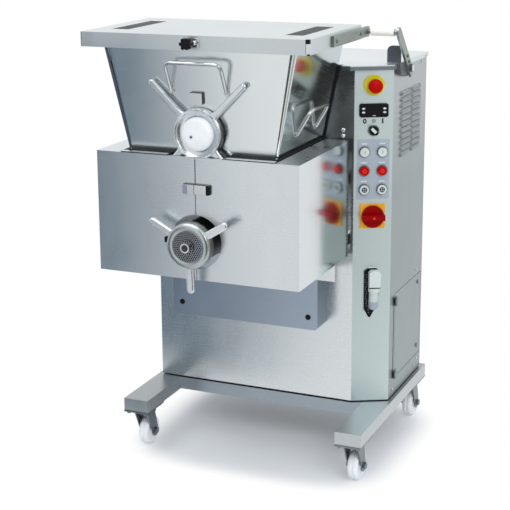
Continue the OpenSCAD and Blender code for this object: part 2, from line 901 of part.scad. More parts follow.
// Outline of the lower part, seen from the front: lines from the foot's corners
// run tangent to the trough's circle
module trough_outline(inset) {
    foot_x = hopper_foot_w / 2 - inset;
    r = trough_r - inset;
    away = norm([foot_x, mixer_up]);
    tangent = -atan2(mixer_up, foot_x) - acos(r / away);
    polygon([[-foot_x, hopper_foot_z], [foot_x, hopper_foot_z],
             [r * cos(tangent), mixer_z + r * sin(tangent)],
             [-r * cos(tangent), mixer_z + r * sin(tangent)]]);
    intersection() {
        translate([0, mixer_z]) circle(r = r);
        translate([-r, mixer_z - r]) square([2 * r, r - mixer_up]);
    }
}

module trough_body(inset, up) {
    translate([0, cab_setback - inset, 0]) rotate([90, 0, 0])
        linear_extrude(cab_setback - hopper_foot_y - 2 * inset) trough_outline(inset);
    foot_x = hopper_foot_w / 2 - inset;
    block([-foot_x, hopper_foot_y + inset, hopper_foot_z - cut],
          [foot_x, cab_setback - inset, hopper_foot_z + up]);
}

boss_r = cap_d / 2 + 8;

// A small welded block on the hopper's front
tab_w = 31;
tab_h = 28;
tab_t = 8;
tab_down = 131;
tab_left_share = 0.68;

module hopper() {
    color("lightsteelblue") home() {
        difference() {
            union() {
                tapered_body(0, 0);
                trough_body(0, 0);
                on_hopper_front(tab_down) translate([-tab_w * tab_left_share, -tab_t, 0])
                    cube([tab_w, tab_t + wall / 2, tab_h]);
            }
            tapered_body(wall, cut);
            trough_body(wall, cut / 10);
            translate([0, 0, mixer_z]) {
                bar_y(boss_r + run_gap, -cut, cab_setback / 2);
                bar_y(mixer_hole_r, cab_setback / 2, cab_setback + cut);
            }
            block([-outlet_w / 2, outlet_front, mixer_z - trough_r - cut],
                  [outlet_w / 2, outlet_back, mixer_z - trough_r / 2]);
        }
    }
}

// A flat rubber apron round the hopper's foot, open in front where the bracket stands
apron_w = 9;
apron_t = 5;
apron_gap = 0.4;
apron_notch = 75;

module hopper_gasket() {
    foot_x = hopper_foot_w / 2 + apron_gap;
    front = rim_front + cut;
    color("black") home() translate([0, 0, hopper_foot_z - apron_t]) linear_extrude(apron_t)
        difference() {
            translate([-foot_x - apron_w, front])
                square([2 * (foot_x + apron_w), cab_setback - front]);
            translate([-foot_x, hopper_foot_y - apron_gap])
                square([2 * foot_x, cab_setback]);
            translate([-apron_notch, 0]) square([2 * apron_notch, hopper_foot_y]);
        }
}

// Handles. Local X runs along the bar, local -Y points out of the wall, local Z is up
// along the wall, and the feet stand on the wall at Z zero.
foot_pad_d = 16;
foot_pad_t = 3;

module handle(l, out, rise) {
    r = handle_rod_d / 2;
    corner_r = r + run_gap;
    start = corner_r + run_gap;
    leg_len = norm([out - start, rise]);
    lean = atan2(out - start, rise);
    for (side = [-1, 1]) translate([side * l / 2, 0, 0]) {
        bar_y(foot_pad_d / 2, -foot_pad_t, 0);
        translate([0, -start, 0]) rotate([lean, 0, 0]) {
            cylinder(r = r, h = leg_len);
            sphere(r = corner_r);
        }
        translate([0, -out, rise]) sphere(r = corner_r);
    }
    translate([0, -out, rise]) bar_x(r, -l / 2, l / 2);
}

front_lean = atan2(hopper_foot_y - hopper_top_y, hopper_h);
side_lean = atan2((hopper_top_w - hopper_foot_w) / 2, hopper_h);
front_handle_down = 103;
side_handle_down = 216;
side_handle_in = 151;
side_handle_y = cab_setback - side_handle_in;

module on_hopper_front(down) {
    translate([0, hopper_top_y, hopper_top_z]) rotate([front_lean, 0, 0])
        translate([0, 0, -down]) children();
}

module on_hopper_side(y, down) {
    translate([hopper_top_w / 2, y, hopper_top_z]) rotate([0, side_lean, 0])
        rotate([0, 0, 90]) translate([0, 0, -down]) children();
}

module hopper_handles() {
    color("silver") home() {
        on_hopper_front(front_handle_down)
            handle(front_handle_l, front_handle_out, front_handle_rise);
        on_hopper_side(side_handle_y, side_handle_down)
            handle(side_handle_l, side_handle_out, side_handle_rise);
    }
}

// Mixer's front bearing: a four-armed bracket with a round boss through the hopper wall
spider_front = 12;
spider_t = 18;
spider_arm_w = 16;
spider_arm_t = 12;
boss_back = hopper_foot_y + 8;

module arm(r, w, from) {
    translate([from, -w / 2]) square([r - from - w / 2, w]);
    translate([r - w / 2, 0]) circle(d = w);
}

module spider_outline() {
    circle(d = spider_d);
    for (a = [45 : 90 : 315]) rotate(a) arm(spider_arm_r, spider_arm_w, boss_r);
}

module bearing_spider() {
    cap_hole = cap_d / 2 + pin_gap;
    color("silver") home() translate([0, 0, mixer_z]) difference() {
        union() {
            bar_y(spider_d / 2, spider_front, spider_front + spider_t);
            bar_y(boss_r, spider_front + spider_t - cut, boss_back);
            translate([0, spider_front + spider_arm_t, 0]) rotate([90, 0, 0])
                linear_extrude(spider_arm_t) spider_outline();
        }
        bar_y(cap_hole, spider_front - cut, boss_back + cut);
    }
}

cap_front = 3;
cap_face_t = 6;
shaft_front = cap_front + cap_face_t + run_gap;
cap_screw_r = 3.5;
cap_screw_off = 10;

module bearing_cap() {
    color("white") home() translate([0, 0, mixer_z]) {
        difference() {
            bar_y(cap_d / 2, cap_front, boss_back);
            bar_y(mixer_shaft_d / 2 + pin_gap, cap_front + cap_face_t, boss_back + cut);
        }
        translate([-cap_screw_off, 0, -cap_screw_off / 2])
            bar_y(cap_screw_r, cap_front - cut, cap_front);
    }
}

// Mixer shaft with four flat paddles set at right angles to one another
drive_front = cab_setback + sheet_t;
hub_gap = 2;
coupling_depth = 20;
paddle_count = 4;
paddle_w = 46;
paddle_t = 6;
paddle_twist = 30;
spoke_r = 8;

module mixer_paddle() {
    span = cab_setback - 2 * wall - boss_back - paddle_w;
    first = boss_back + wall + paddle_w / 2;
    color("silver") home() translate([0, 0, mixer_z]) {
        bar_y(mixer_shaft_d / 2, shaft_front, drive_front + hub_gap + coupling_depth);
        for (i = [0 : paddle_count - 1])
            translate([0, first + span * i / (paddle_count - 1), 0]) rotate([0, 90 * i + 45, 0]) {
                cylinder(r = spoke_r, h = paddle_r - paddle_w / 2);
                translate([0, 0, paddle_r - paddle_w / 2]) rotate([0, 0, paddle_twist])
                    translate([-paddle_w / 3, -paddle_t / 2, -paddle_w / 2])
                        cube([paddle_w * 2 / 3, paddle_t, paddle_w * 4 / 5]);
            }
    }
}

// Grinding head
ring_front = -ring_out;
lip_t = 2;
plate_front = ring_front + lip_t;
plate_back = plate_front + plate_t;
knife_t = 8;
barrel_front = plate_front + plate_t / 2;
worm_front = plate_back + knife_t + run_gap;
bore_r = worm_d / 2 + 1;
plate_seat_r = plate_d / 2 + run_gap;
flange_r = 76;
flange_t = 16;
throat_wall = 4;
worm_back = cab_setback - flange_t - run_gap;

module head_barrel() {
    throat_x = outlet_w / 2 + throat_wall;
    color("gray") home() difference() {
        union() {
            translate([0, 0, head_z]) {
                bar_y(barrel_d / 2, barrel_front, cab_setback);
                bar_y(flange_r, cab_setback - flange_t, cab_setback);
            }
            block([-throat_x, outlet_front - throat_wall, head_z],
                  [throat_x, outlet_back + throat_wall, mixer_z - trough_r / 2]);
        }
        translate([0, 0, mixer_z]) bar_y(trough_r + run_gap, 0, cab_setback + cut);
        block([-outlet_w / 2, outlet_front, head_z + barrel_d / 2], [outlet_w / 2, outlet_back,
              mixer_z]);
        block([-bore_r, outlet_front, head_z], [bore_r, outlet_back, mixer_z]);
        translate([0, 0, head_z]) {
            bar_y(bore_r, barrel_front, cab_setback - flange_t);
            bar_y(plate_seat_r, barrel_front - cut, plate_back + knife_t);
            bar_y(worm_pin_r + pin_gap, cab_setback - 2 * flange_t, cab_setback + cut);
        }
    }
}

stub_r = 12;
stub_bore_r = 6.5;
stub_bore_l = 11;
core_r = 20;
flight_angle = 40;
flank_angle = 4;
flight_steps = 3;
core_steps = 16;
worm_slices = 12;

function at_angle(r, a) = r * [cos(a), sin(a)];

// The worm's outline: the flight's crest, then the core round to the flight's other side
function worm_outline(a) = concat(
    [for (i = [0 : flight_steps])
        at_angle(worm_d / 2, a + flank_angle + (flight_angle - 2 * flank_angle) * i / flight_steps)],
    [for (i = [0 : core_steps])
        at_angle(core_r, a + flight_angle + (360 - flight_angle) * i / core_steps)]);

module flighted_body(height, turns) {
    n = round(turns * worm_slices);
    m = flight_steps + core_steps + 2;
    points = concat([for (k = [0 : n], p = worm_outline(360 * turns * k / n)) [p.x, p.y, height * k / n]],
                    [[0, 0, 0], [0, 0, height]]);
    sides = [for (k = [0 : n - 1], i = [0 : m - 1]) each
        let (j = (i + 1) % m, low = k * m, high = low + m)
        [[low + i, high + i, low + j], [low + j, high + i, high + j]]];
    ends = [for (i = [0 : m - 1]) each
        let (j = (i + 1) % m, high = n * m)
        [[high + m, i, j], [high + m + 1, high + j, high + i]]];
    polyhedron(points, concat(sides, ends));
}

// The flighted body, the rear shaft and the front stub are three pressed-together pieces
module worm() {
    back = worm_back - seam;
    color("silver") home() translate([0, 0, head_z]) {
        translate([0, back, 0]) rotate([90, 0, 0])
            flighted_body(back - worm_front, (back - worm_front) / worm_pitch);
        bar_y(worm_pin_r, back + press_gap, drive_front + hub_gap + coupling_depth);
        difference() {
            bar_y(stub_r, ring_front - stub_out, worm_front - press_gap);
            bar_y(stub_bore_r, ring_front - stub_out - cut, ring_front - stub_out + stub_bore_l);
        }
    }
}

knife_hub_r = 18;
knife_blade_w = 13;

module knife() {
    color("silver") home() translate([0, worm_front - run_gap / 2, head_z]) rotate([90, 0, 0])
        linear_extrude(knife_t - run_gap / 2) difference() {
            union() {
                circle(r = knife_hub_r);
                for (a = [0 : 90 : 270]) rotate(a) translate([0, -knife_blade_w / 2])
                    square([bore_r - 2, knife_blade_w]);
            }
            circle(r = stub_r + pin_gap);
        }
}

plate_hub_r = 17;
plate_hub_t = 4;
plate_edge = 3.4;
plate_rings = ceil(plate_d / 2 / plate_pitch / cos(30)) + 1;

module cutting_plate() {
    far = plate_d / 2 - plate_edge - plate_hole_d / 2;
    near = plate_hub_r + plate_hole_d / 2;
    color("dimgray") home() translate([0, plate_back, head_z]) rotate([90, 0, 0]) {
        linear_extrude(plate_t) difference() {
            circle(d = plate_d);
            circle(r = stub_r + pin_gap);
            for (i = [-plate_rings : plate_rings], j = [-plate_rings : plate_rings]) {
                p = plate_pitch * [i + j / 2, j * sin(60)];
                if (norm(p) < far && norm(p) > near) translate(p) circle(d = plate_hole_d, $fn = 16);
            }
        }
        translate([0, 0, plate_t]) linear_extrude(plate_hub_t) difference() {
            circle(r = plate_hub_r);
            circle(r = stub_r + pin_gap);
        }
    }
}

ring_bevel = 6;
ring_face_r = 46;
ring_lip_r = 39.5;
ring_arm_w = 18;
ring_arm_t = 14;
ring_turn = 1.5;

module ring_nut() {
    back = ring_front + ring_l;
    color("silver") home() translate([0, 0, head_z]) difference() {
        union() {
            bar_y(ring_d / 2, ring_front + ring_bevel, back);
            translate([0, ring_front, 0]) rotate([-90, 0, 0])
                cylinder(r1 = ring_face_r, r2 = ring_d / 2, h = ring_bevel);
            translate([0, ring_front + ring_arm_t, 0]) rotate([90, 0, 0])
                linear_extrude(ring_arm_t)
                    for (a = [30, 150, 270]) rotate(a + ring_turn)
                        arm(ring_arm_r, ring_arm_w, (ring_face_r + ring_d / 2) / 2);
        }
        bar_y(ring_lip_r, ring_front - cut, back);
        bar_y(plate_seat_r, plate_front - run_gap, back);
        bar_y(barrel_d / 2 + run_gap, barrel_front - run_gap, back + cut);
    }
}

// Doors. Each is an L of sheet round one half of the space under the hopper, with a
// rim on top and a small one below, and hangs on two pinned hinges at the back.
door_hinge_x = doors_w / 2 - 6.5;
door_hinge_y = cab_setback - 9;
door_back = cab_setback - 12;
knuckle_r = 6;
door_pin_r = 3.5;
knuckle_h = 30;
lug_h = 8;
low_hinge_up = 73;
high_hinge_up = 233;
door_hinge_zs = [doors_z + low_hinge_up, doors_z + high_hinge_up];
rim_low = 14;
slit = 1.2;
latch_up = 228;
latch_z = doors_z + latch_up;
latch_w = 23;
latch_t = 9;
tongue_w = 10;
tongue_t = 3;
tongue_y = -3;
tongue_gap = 0.6;
tongue_in = 12;

module door_shell() {
    w = doors_w / 2;
    rim_side = w - hopper_foot_w / 2 - apron_gap - apron_w - cut;
    difference() {
        union() {
            block([slit, 0, doors_z], [w, sheet_t, doors_top]);
            block([w - sheet_t, 0, doors_z], [w, door_back, doors_top]);
            block([slit, 0, doors_top - sheet_t], [w, rim_front, doors_top]);
            block([w - rim_side, 0, doors_top - sheet_t], [w, door_back, doors_top]);
            block([slit, 0, doors_z], [w, rim_low, doors_z + sheet_t]);
            block([w - rim_low, 0, doors_z], [w, door_back, doors_z + sheet_t]);
            for (z = door_hinge_zs) {
                translate([door_hinge_x, door_hinge_y, z]) cylinder(r = knuckle_r, h = knuckle_h);
                block([door_hinge_x, door_back - 2 * knuckle_r, z], [w, door_back, z + knuckle_h]);
            }
        }
        translate([0, 0, head_z]) bar_y(head_hole_d / 2, -cut, sheet_t + rim_front);
        for (z = door_hinge_zs) translate([door_hinge_x, door_hinge_y, z - cut])
            cylinder(r = door_pin_r + pin_gap, h = knuckle_h + 2 * cut);
    }
}

// The right door has a slot for the latch's stem
module door_right() {
    color("lightsteelblue") home() difference() {
        door_shell();
        block([stem_x - run_gap, -cut, latch_z - stem_w / 2 - run_gap],
              [stem_x + stem_w + latch_travel + run_gap, sheet_t + cut,
               latch_z + stem_w / 2 + run_gap]);
    }
}

// The left door also carries the latch's keeper
module door_left() {
    z = latch_z;
    color("lightsteelblue") home() {
        mirror([1, 0, 0]) door_shell();
        difference() {
            block([-latch_l, -latch_t, z - latch_w / 2], [-seam, 0, z + latch_w / 2]);
            block([-seam - tongue_in - cut, tongue_y - tongue_t - tongue_gap,
                   z - tongue_w / 2 - tongue_gap],
                  [cut, tongue_y + tongue_gap, z + tongue_w / 2 + tongue_gap]);
        }
    }
}

latch_grip_l = 10;
latch_travel = 12;
stem_x = 14;
stem_w = 6;
stem_back_w = 14;
stem_back_y = sheet_t + 2 * run_gap;

module latch() {
    color("silver") home() {
        block([seam, -latch_t, latch_z - latch_w / 2],
              [latch_l + latch_grip_l, -run_gap, latch_z + latch_w / 2]);
        block([-tongue_in, tongue_y - tongue_t, latch_z - tongue_w / 2],
              [seam + cut, tongue_y, latch_z + tongue_w / 2]);
        block([stem_x, -cut, latch_z - stem_w / 2],
              [stem_x + stem_w, stem_back_y + cut, latch_z + stem_w / 2]);
        block([stem_x - stem_w / 2, stem_back_y, latch_z - stem_back_w / 2],
              [stem_x + stem_w * 3 / 2, stem_back_y + sheet_t, latch_z + stem_back_w / 2]);
    }
}

// Lid

grille_w = 47;
grille_l = 210;
grille_in = 43;
grille_front = 78;
grille_t = 3;
knob_x = -3;
lid_screw_r = 3;
lid_front = -lid_out;

module grille_place() {
    for (side = [-1, 1])
        translate([side * (lid_w / 2 - grille_in - grille_w / 2), lid_front + grille_front, lid_top])
            children();
}

module lid() {
    x = lid_w / 2;
    color("gainsboro") home() difference() {
        block([-x, lid_front, lid_z], [x, lid_front + lid_d, lid_top]);
        block([-x + sheet_t, lid_front + sheet_t, lid_z + sheet_t],
              [x - sheet_t, lid_front + lid_d - sheet_t, lid_top - sheet_t]);
        translate([knob_x, 0, lid_z + lid_h / 2])
            bar_y(lid_screw_r + pin_gap, lid_front - cut, lid_front + sheet_t + cut);
        grille_place() translate([-grille_w / 2, 0, -grille_t]) cube([grille_w, grille_l,
                                                                      2 * grille_t]);
    }
}

slat_count = 20;
slat_gap = 4;
grille_rim = 4;

module lid_grilles() {
    pitch = (grille_l - 2 * grille_rim) / slat_count;
    color("dimgray") home() grille_place() difference() {
        translate([-grille_w / 2, 0, -sheet_t]) cube([grille_w, grille_l, sheet_t]);
        for (i = [0 : slat_count - 1])
            translate([-grille_w / 2 + grille_rim, grille_rim + (i + 0.5) * pitch - slat_gap / 2,
                       -sheet_t - cut])
                cube([grille_w - 2 * grille_rim, slat_gap, sheet_t + 2 * cut]);
    }
}

knob_r = 10;
lobe_r = 4.6;
knob_l = 15;
knob_off = 12;

module lid_knob() {
    color("black") home() translate([knob_x, lid_front, lid_z + lid_h / 2]) {
        translate([0, -knob_off, 0]) rotate([90, 0, 0]) linear_extrude(knob_l) {
            circle(r = knob_r);
            for (a = [0 : 60 : 300]) rotate(a) translate([knob_r, 0]) circle(r = lobe_r);
        }
        bar_y(lid_screw_r, -knob_off - cut, sheet_t + knob_off / 2);
    }
}

// Lifting arm: a flat bar on the lid's right side, a tube out to the right, and a
// second bar down to the pivot, all one welded piece
bar_front = 136;
bar_low = 3;
arm_tail = 22;

module lid_arm() {
    x = lid_w / 2;
    reach = norm([pivot_y - tube_y, tube_z - pivot_z]);
    fall = atan2(tube_z - pivot_z, pivot_y - tube_y);
    color("silver") home() {
        block([x, bar_front, lid_z + bar_low], [x + arm_t, tube_y, lid_z + bar_low + arm_w]);
        translate([x, tube_y, tube_z]) rotate([0, 90, 0]) cylinder(d = arm_w, h = arm_t);
        translate([0, tube_y, tube_z]) bar_x(tube_d / 2, x + arm_t - cut, arm_x + cut);
        difference() {
            translate([arm_x, tube_y, tube_z]) rotate([-fall, 0, 0]) {
                translate([0, 0, -arm_w / 2]) cube([arm_t, reach + arm_tail, arm_w]);
                bar_x(arm_w / 2, 0, arm_t);
            }
            translate([0, pivot_y, pivot_z])
                bar_x(lid_screw_r + pivot_bolt_t / 3 + pin_gap, arm_x - cut, arm_x + arm_t + cut);
        }
    }
}

module grip_sleeve() {
    left = lid_w / 2 + arm_t + sleeve_end;
    right = arm_x - sleeve_end;
    color("beige") home() translate([0, tube_y, tube_z]) difference() {
        bar_x(sleeve_d / 2, left, right);
        bar_x(tube_d / 2 + pin_gap, left - cut, right + cut);
    }
}

// Pivot block with its bolt on the cabinet's side, and the round stop plate on top
pivot_block_h = 40;
pivot_block_front = 74;
pivot_block_back = 22;
pivot_block_slant = 26;
stop_r = 14;

module arm_pivot() {
    r = lid_screw_r + pivot_bolt_t / 3;
    side_x = cab_right + top_over_side;
    color("darkslategray") home() {
        difference() {
            translate([cab_right, pivot_y, pivot_z]) rotate([90, 0, 90])
                linear_extrude(arm_x - run_gap - cab_right)
                    polygon([[-pivot_block_front, pivot_block_h / 2],
                             [-pivot_block_front + pivot_block_slant / 2, -pivot_block_h / 4],
                             [-pivot_block_back, -pivot_block_h / 2],
                             [pivot_block_back, -pivot_block_h / 2],
                             [pivot_block_back, pivot_block_h / 2 - arm_t]]);
            block([cab_right - cut, cab_setback, cab_top - top_flange_h],
                  [side_x, cab_back, cab_top + pivot_block_h]);
        }
        translate([0, pivot_y, pivot_z]) {
            bar_x(r, arm_x - cut, arm_x + arm_t + run_gap + cut);
            bar_x(2 * r, arm_x + arm_t + run_gap, arm_x + arm_t + pivot_bolt_t);
        }
        translate([stop_x - stop_w / 2, stop_y, cab_top - sheet_t]) {
            cube([stop_w, stop_t, stop_h - stop_r]);
            translate([stop_r, 0, 0]) cube([stop_w - stop_r, stop_t, stop_h]);
            translate([stop_r, 0, stop_h - stop_r]) bar_y(stop_r, 0, stop_t);
        }
    }
}

// Inside the cabinet

// Gearbox width, height and depth, then the motor's radius and length
head_drive = [160, 190, 90, 70, 170];
mixer_drive = [110, 120, 70, 48, 150];

module gearmotors() {
    color("slategray") home() {
        gearmotor(head_z, head_drive, worm_pin_r);
        gearmotor(mixer_z, mixer_drive, mixer_shaft_d / 2);
    }
}

// Compressor on the floor, condenser behind the louvres with the fan's shroud and motor
compressor_r = 75;
compressor_h = 150;
compressor_x = -150;
compressor_y = cab_setback + cab_d * 0.53;
condenser_t = 30;
condenser_over = 6;
fan_y = louvre_y + louvre_l + louvre_gap / 2;
fan_z = louvre_z + louvre_rows * louvre_pitch / 2;
fan_r = 72;
fan_gap = 3;
shroud_t = 4;
shroud_d = 34;
fan_motor_r = 26;
fan_motor_l = 40;
fan_shaft_r = 4;
fan_hub_r = 15;
fan_hub_l = 20;
stay_w = 10;

module cooling_unit() {
    x = cab_right - sheet_t;
    half_y = louvre_l + louvre_gap / 2 + condenser_over;
    half_z = louvre_rows * louvre_pitch / 2 + condenser_over;
    shroud_x = x - condenser_t - shroud_d;
    out_r = fan_r + fan_gap + shroud_t;
    color("gray") home() {
        translate([compressor_x, compressor_y, cab_z + sheet_t]) {
            cylinder(r = compressor_r, h = compressor_h);
            translate([0, 0, compressor_h])
                cylinder(r1 = compressor_r, r2 = compressor_r / 2, h = compressor_r / 3);
        }
        translate([0, fan_y, fan_z]) {
            block([x - condenser_t, -half_y, -half_z], [x, half_y, half_z]);
            difference() {
                bar_x(out_r, shroud_x, x - condenser_t + cut);
                bar_x(fan_r + fan_gap, shroud_x - cut, x - condenser_t);
            }
            block([shroud_x, -out_r + cut, -stay_w / 2], [shroud_x + shroud_t, out_r - cut, stay_w / 2]);
            bar_x(fan_motor_r, shroud_x + shroud_t - fan_motor_l, shroud_x + shroud_t);
            bar_x(fan_shaft_r, shroud_x, shroud_x + shroud_d - fan_gap);
        }
    }
}

fan_blades = 5;
fan_pitch = 32;
fan_blade_w = 24;

module fan() {
    front = cab_right - sheet_t - condenser_t - shroud_d + shroud_t + fan_gap;
    color("black") home() translate([0, fan_y, fan_z]) difference() {
        union() {
            bar_x(fan_hub_r, front, front + fan_hub_l);
            for (i = [0 : fan_blades - 1]) rotate([360 * i / fan_blades, 0, 0])
                translate([front + fan_hub_l / 2, 0, 0]) rotate([0, 0, fan_pitch])
                    translate([-sheet_t / 2, -fan_blade_w / 2, fan_hub_r - 3 * cut])
                        cube([sheet_t, fan_blade_w, fan_r - fan_hub_r - cut]);
        }
        bar_x(fan_shaft_r + pin_gap, front - cut, front + fan_hub_l + cut);
    }
}

// Box of the electrical gear on the right panel, behind the control column
box_w = 90;
box_l = 150;
box_h = 190;
box_up = 410;

module electrical_box() {
    x = cab_right - sheet_t;
    y = cab_setback + column_d + 2 * shank_l;
    color("gray") home() box_section([x - box_w, y, cab_z + box_up],
                                     [x, y + box_l, cab_z + box_up + box_h], sheet_t);
}

// The doors' hinges on the front panel: a lug above and below each knuckle and a pin
lug_r = 5;
lug_side = 2;

module hinge_set() {
    pin_low = -lug_h - run_gap;
    pin_high = knuckle_h + lug_h + run_gap;
    for (z = door_hinge_zs) translate([door_hinge_x, door_hinge_y, z]) {
        translate([0, 0, pin_low]) cylinder(r = door_pin_r, h = pin_high - pin_low);
        for (low = [pin_low, knuckle_h + run_gap]) translate([0, 0, low]) {
            cylinder(r = lug_r, h = lug_h);
            translate([-lug_r, 0, 0]) cube([lug_r + lug_side, cab_setback - door_hinge_y, lug_h]);
        }
    }
}

module door_hinges() {
    color("dimgray") home() for (side = [0, 1]) mirror([side, 0, 0]) hinge_set();
}

module gearmotor(z, sizes, shaft_r) {
    w = sizes[0];
    h = sizes[1];
    d = sizes[2];
    motor_r = sizes[3];
    motor_l = sizes[4];
    back = drive_front + hub_gap + d;
    translate([0, 0, z]) difference() {
        union() {
            block([-w / 2, drive_front, -h / 2], [w / 2, back, h / 2]);
            bar_y(motor_r, back, back + motor_l);
        }
        bar_y(shaft_r + pin_gap, drive_front - cut, drive_front + hub_gap + coupling_depth + cut);
    }
}

legs();
cross_beams();
castor_plates();
castor_fork_fl();
castor_fork_fr();
castor_fork_rl();
castor_fork_rr();
castor_wheel_fl();
castor_wheel_fr();
castor_wheel_rl();
castor_wheel_rr();
brake_pedal_fl();
brake_pedal_fr();
cabinet_floor();
front_panel();
cabinet_wrap();
right_panel();
cabinet_top();
control_column();
service_door();
switch_backplates();
estop_button();
thermostat();
selector_knob();
switch_bezels();
button_a1();
button_b1();
button_a2();
button_b2();
button_a3();
button_b3();
main_switch_knob();
supply_inlet();
bracket_cover();
evaporator_casing();
door_hinges();
hopper();
hopper_gasket();
hopper_handles();
bearing_spider();
bearing_cap();
mixer_paddle();
head_barrel();
worm();
knife();
cutting_plate();
ring_nut();
door_left();
door_right();
latch();
lid();
lid_grilles();
lid_arm();
grip_sleeve();
lid_knob();
arm_pivot();
gearmotors();
cooling_unit();
fan();
electrical_box();
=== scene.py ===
# Refrigerated mixer-grinder on castors: finishes, trim, studio and camera.
# Places are given in millimetres from the grinding head's axis (x), the door fronts (y)
# and the floor (z), as the machine's own drawing has them.

import math

import bmesh
import bpy
from mathutils import Matrix, Vector


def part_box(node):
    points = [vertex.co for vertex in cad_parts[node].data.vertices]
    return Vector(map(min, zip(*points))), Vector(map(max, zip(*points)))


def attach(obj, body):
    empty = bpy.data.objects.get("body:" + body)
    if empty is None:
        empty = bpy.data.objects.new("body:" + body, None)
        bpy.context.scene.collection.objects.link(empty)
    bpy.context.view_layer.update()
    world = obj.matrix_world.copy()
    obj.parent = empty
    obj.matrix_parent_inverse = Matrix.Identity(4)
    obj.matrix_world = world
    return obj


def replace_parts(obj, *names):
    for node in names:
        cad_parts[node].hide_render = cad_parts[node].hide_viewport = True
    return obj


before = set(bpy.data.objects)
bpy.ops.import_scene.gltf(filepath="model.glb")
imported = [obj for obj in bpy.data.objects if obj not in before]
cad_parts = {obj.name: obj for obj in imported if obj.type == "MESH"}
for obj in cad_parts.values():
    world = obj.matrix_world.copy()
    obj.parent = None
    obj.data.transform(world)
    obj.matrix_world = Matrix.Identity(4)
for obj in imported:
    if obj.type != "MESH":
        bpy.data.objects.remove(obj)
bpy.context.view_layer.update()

# One millimetre, in the frame's metres
MM = 0.001

# Where the machine stands in the shared frame


def middle(node):
    low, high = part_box(node)
    return (low + high) / 2


def level(node):
    """Height of a node's middle above the floor, in millimetres."""
    return middle(node).z / MM


head = middle("head_barrel")
door_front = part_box("door_right")[0].y
MIXER_Z = 916
HEAD_Z = 653


def place(x, y, z):
    """A point of the machine's drawing, in the shared frame."""
    return Vector((head.x + x * MM, door_front + y * MM, z * MM))


def upright(x, y, z, turn=0.0):
    """A place whose local -Y faces the operator, turned about the vertical by some degrees."""
    return Matrix.Translation(place(x, y, z)) @ Matrix.Rotation(math.radians(turn), 4, "Z")


def shifted(spot, x, y, z):
    """The same place, moved by some millimetres along its own axes."""
    return spot @ Matrix.Translation((x * MM, y * MM, z * MM))


column_low, column_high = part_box("control_column")
column_along = Vector((column_high.x - column_low.x, column_high.y - column_low.y, 0))
COLUMN_WIDTH = column_along.length / MM
COLUMN_TURN = math.degrees(math.atan2(column_along.y, column_along.x))
COLUMN_MIDDLE = COLUMN_WIDTH / 2


def on_column(s, z):
    """A place on the slanted column: s along it from its left edge, z above the floor."""
    start = Vector((column_low.x, column_low.y, 0))
    spot = start + column_along.normalized() * s * MM + Vector((0, 0, z * MM))
    return Matrix.Translation(spot) @ Matrix.Rotation(math.radians(COLUMN_TURN), 4, "Z")


# Finishes


class Value:
    """A number that varies over a surface. Python's own operators add the Math nodes."""

    def __init__(self, finish, socket):
        self.finish = finish
        self.socket = socket

    def maths(self, operation, first, second):
        return self.finish.add("ShaderNodeMath", {"operation": operation}, {0: first, 1: second})

    def __add__(self, other):
        return self.maths("ADD", self, other)

    __radd__ = __add__

    def __sub__(self, other):
        return self.maths("SUBTRACT", self, other)

    def __rsub__(self, other):
        return self.maths("SUBTRACT", other, self)

    def __mul__(self, other):
        return self.maths("MULTIPLY", self, other)

    __rmul__ = __mul__

    def __gt__(self, other):
        return self.maths("GREATER_THAN", self, other)

    def __lt__(self, other):
        return self.maths("LESS_THAN", self, other)


class Finish:
    """A material with one Principled shader."""

    def __init__(self, name, **constants):
        self.material = bpy.data.materials.new(name)
        self.material.use_nodes = True
        self.tree = self.material.node_tree
        self.shader = self.tree.nodes["Principled BSDF"]
        for socket, value in constants.items():
            self.shader.inputs[socket.replace("_", " ")].default_value = value

    def add(self, kind, settings, inputs, output=0):
        node = self.tree.nodes.new(kind)
        for name, value in settings.items():
            setattr(node, name, value)
        for name, value in inputs.items():
            self.feed(node.inputs[name], value)
        return Value(self, node.outputs[output])

    def feed(self, socket, value):
        if isinstance(value, Value):
            self.tree.links.new(value.socket, socket)
        else:
            socket.default_value = value

    def surface(self, **sockets):
        for name, value in sockets.items():
            self.feed(self.shader.inputs[name.replace("_", " ")], value)

    def where(self):
        return self.add("ShaderNodeTexCoord", {}, {}, "Object")

    def along(self, axis):
        return self.add("ShaderNodeSeparateXYZ", {}, {0: self.where()}, axis)

    def facing(self, axis):
        normal = self.add("ShaderNodeTexCoord", {}, {}, "Normal")
        return self.add("ShaderNodeSeparateXYZ", {}, {0: normal}, axis)

    def noise(self, stretch, detail=2.0):
        """Noise with its fineness per metre along each axis, or one number for all three."""
        if isinstance(stretch, float):
            stretch = (stretch, stretch, stretch)
        spot = self.add("ShaderNodeMapping", {}, {"Vector": self.where(), "Scale": stretch})
        return self.add("ShaderNodeTexNoise", {}, {"Vector": spot, "Scale": 1.0, "Detail": detail})

    def fade(self, value, start, end, low=0.0, high=1.0):
        """Low where the value is at start, high at end, and smooth between them."""
        return self.add("ShaderNodeMapRange", {"interpolation_type": "SMOOTHSTEP"},
                        {"Value": value, "From Min": start, "From Max": end,
                         "To Min": low, "To Max": high})

    def blend(self, factor, first, second):
        return self.add("ShaderNodeMix", {"data_type": "RGBA", "clamp_factor": True},
                        {0: factor, 6: first, 7: second}, 2)

    def bump(self, height, strength, depth):
        """Bump from a height between 0 and 1 that stands for a depth in millimetres."""
        return self.add("ShaderNodeBump", {},
                        {"Height": height, "Strength": strength, "Distance": depth * MM})


def tint(colour, share):
    return tuple(min(1.0, c * share) for c in colour) + (1.0,)


# Fineness per metre: across and along the brushed lines, of the patches and of the smears
BRUSH_ACROSS = 1500.0
BRUSH_ALONG = 14.0
PATCHES = (5.0, 5.0, 3.0)
SMEARS = (26.0, 26.0, 9.0)
BRUSH_BUMP = 0.045
BRUSH_DEPTH = 0.05


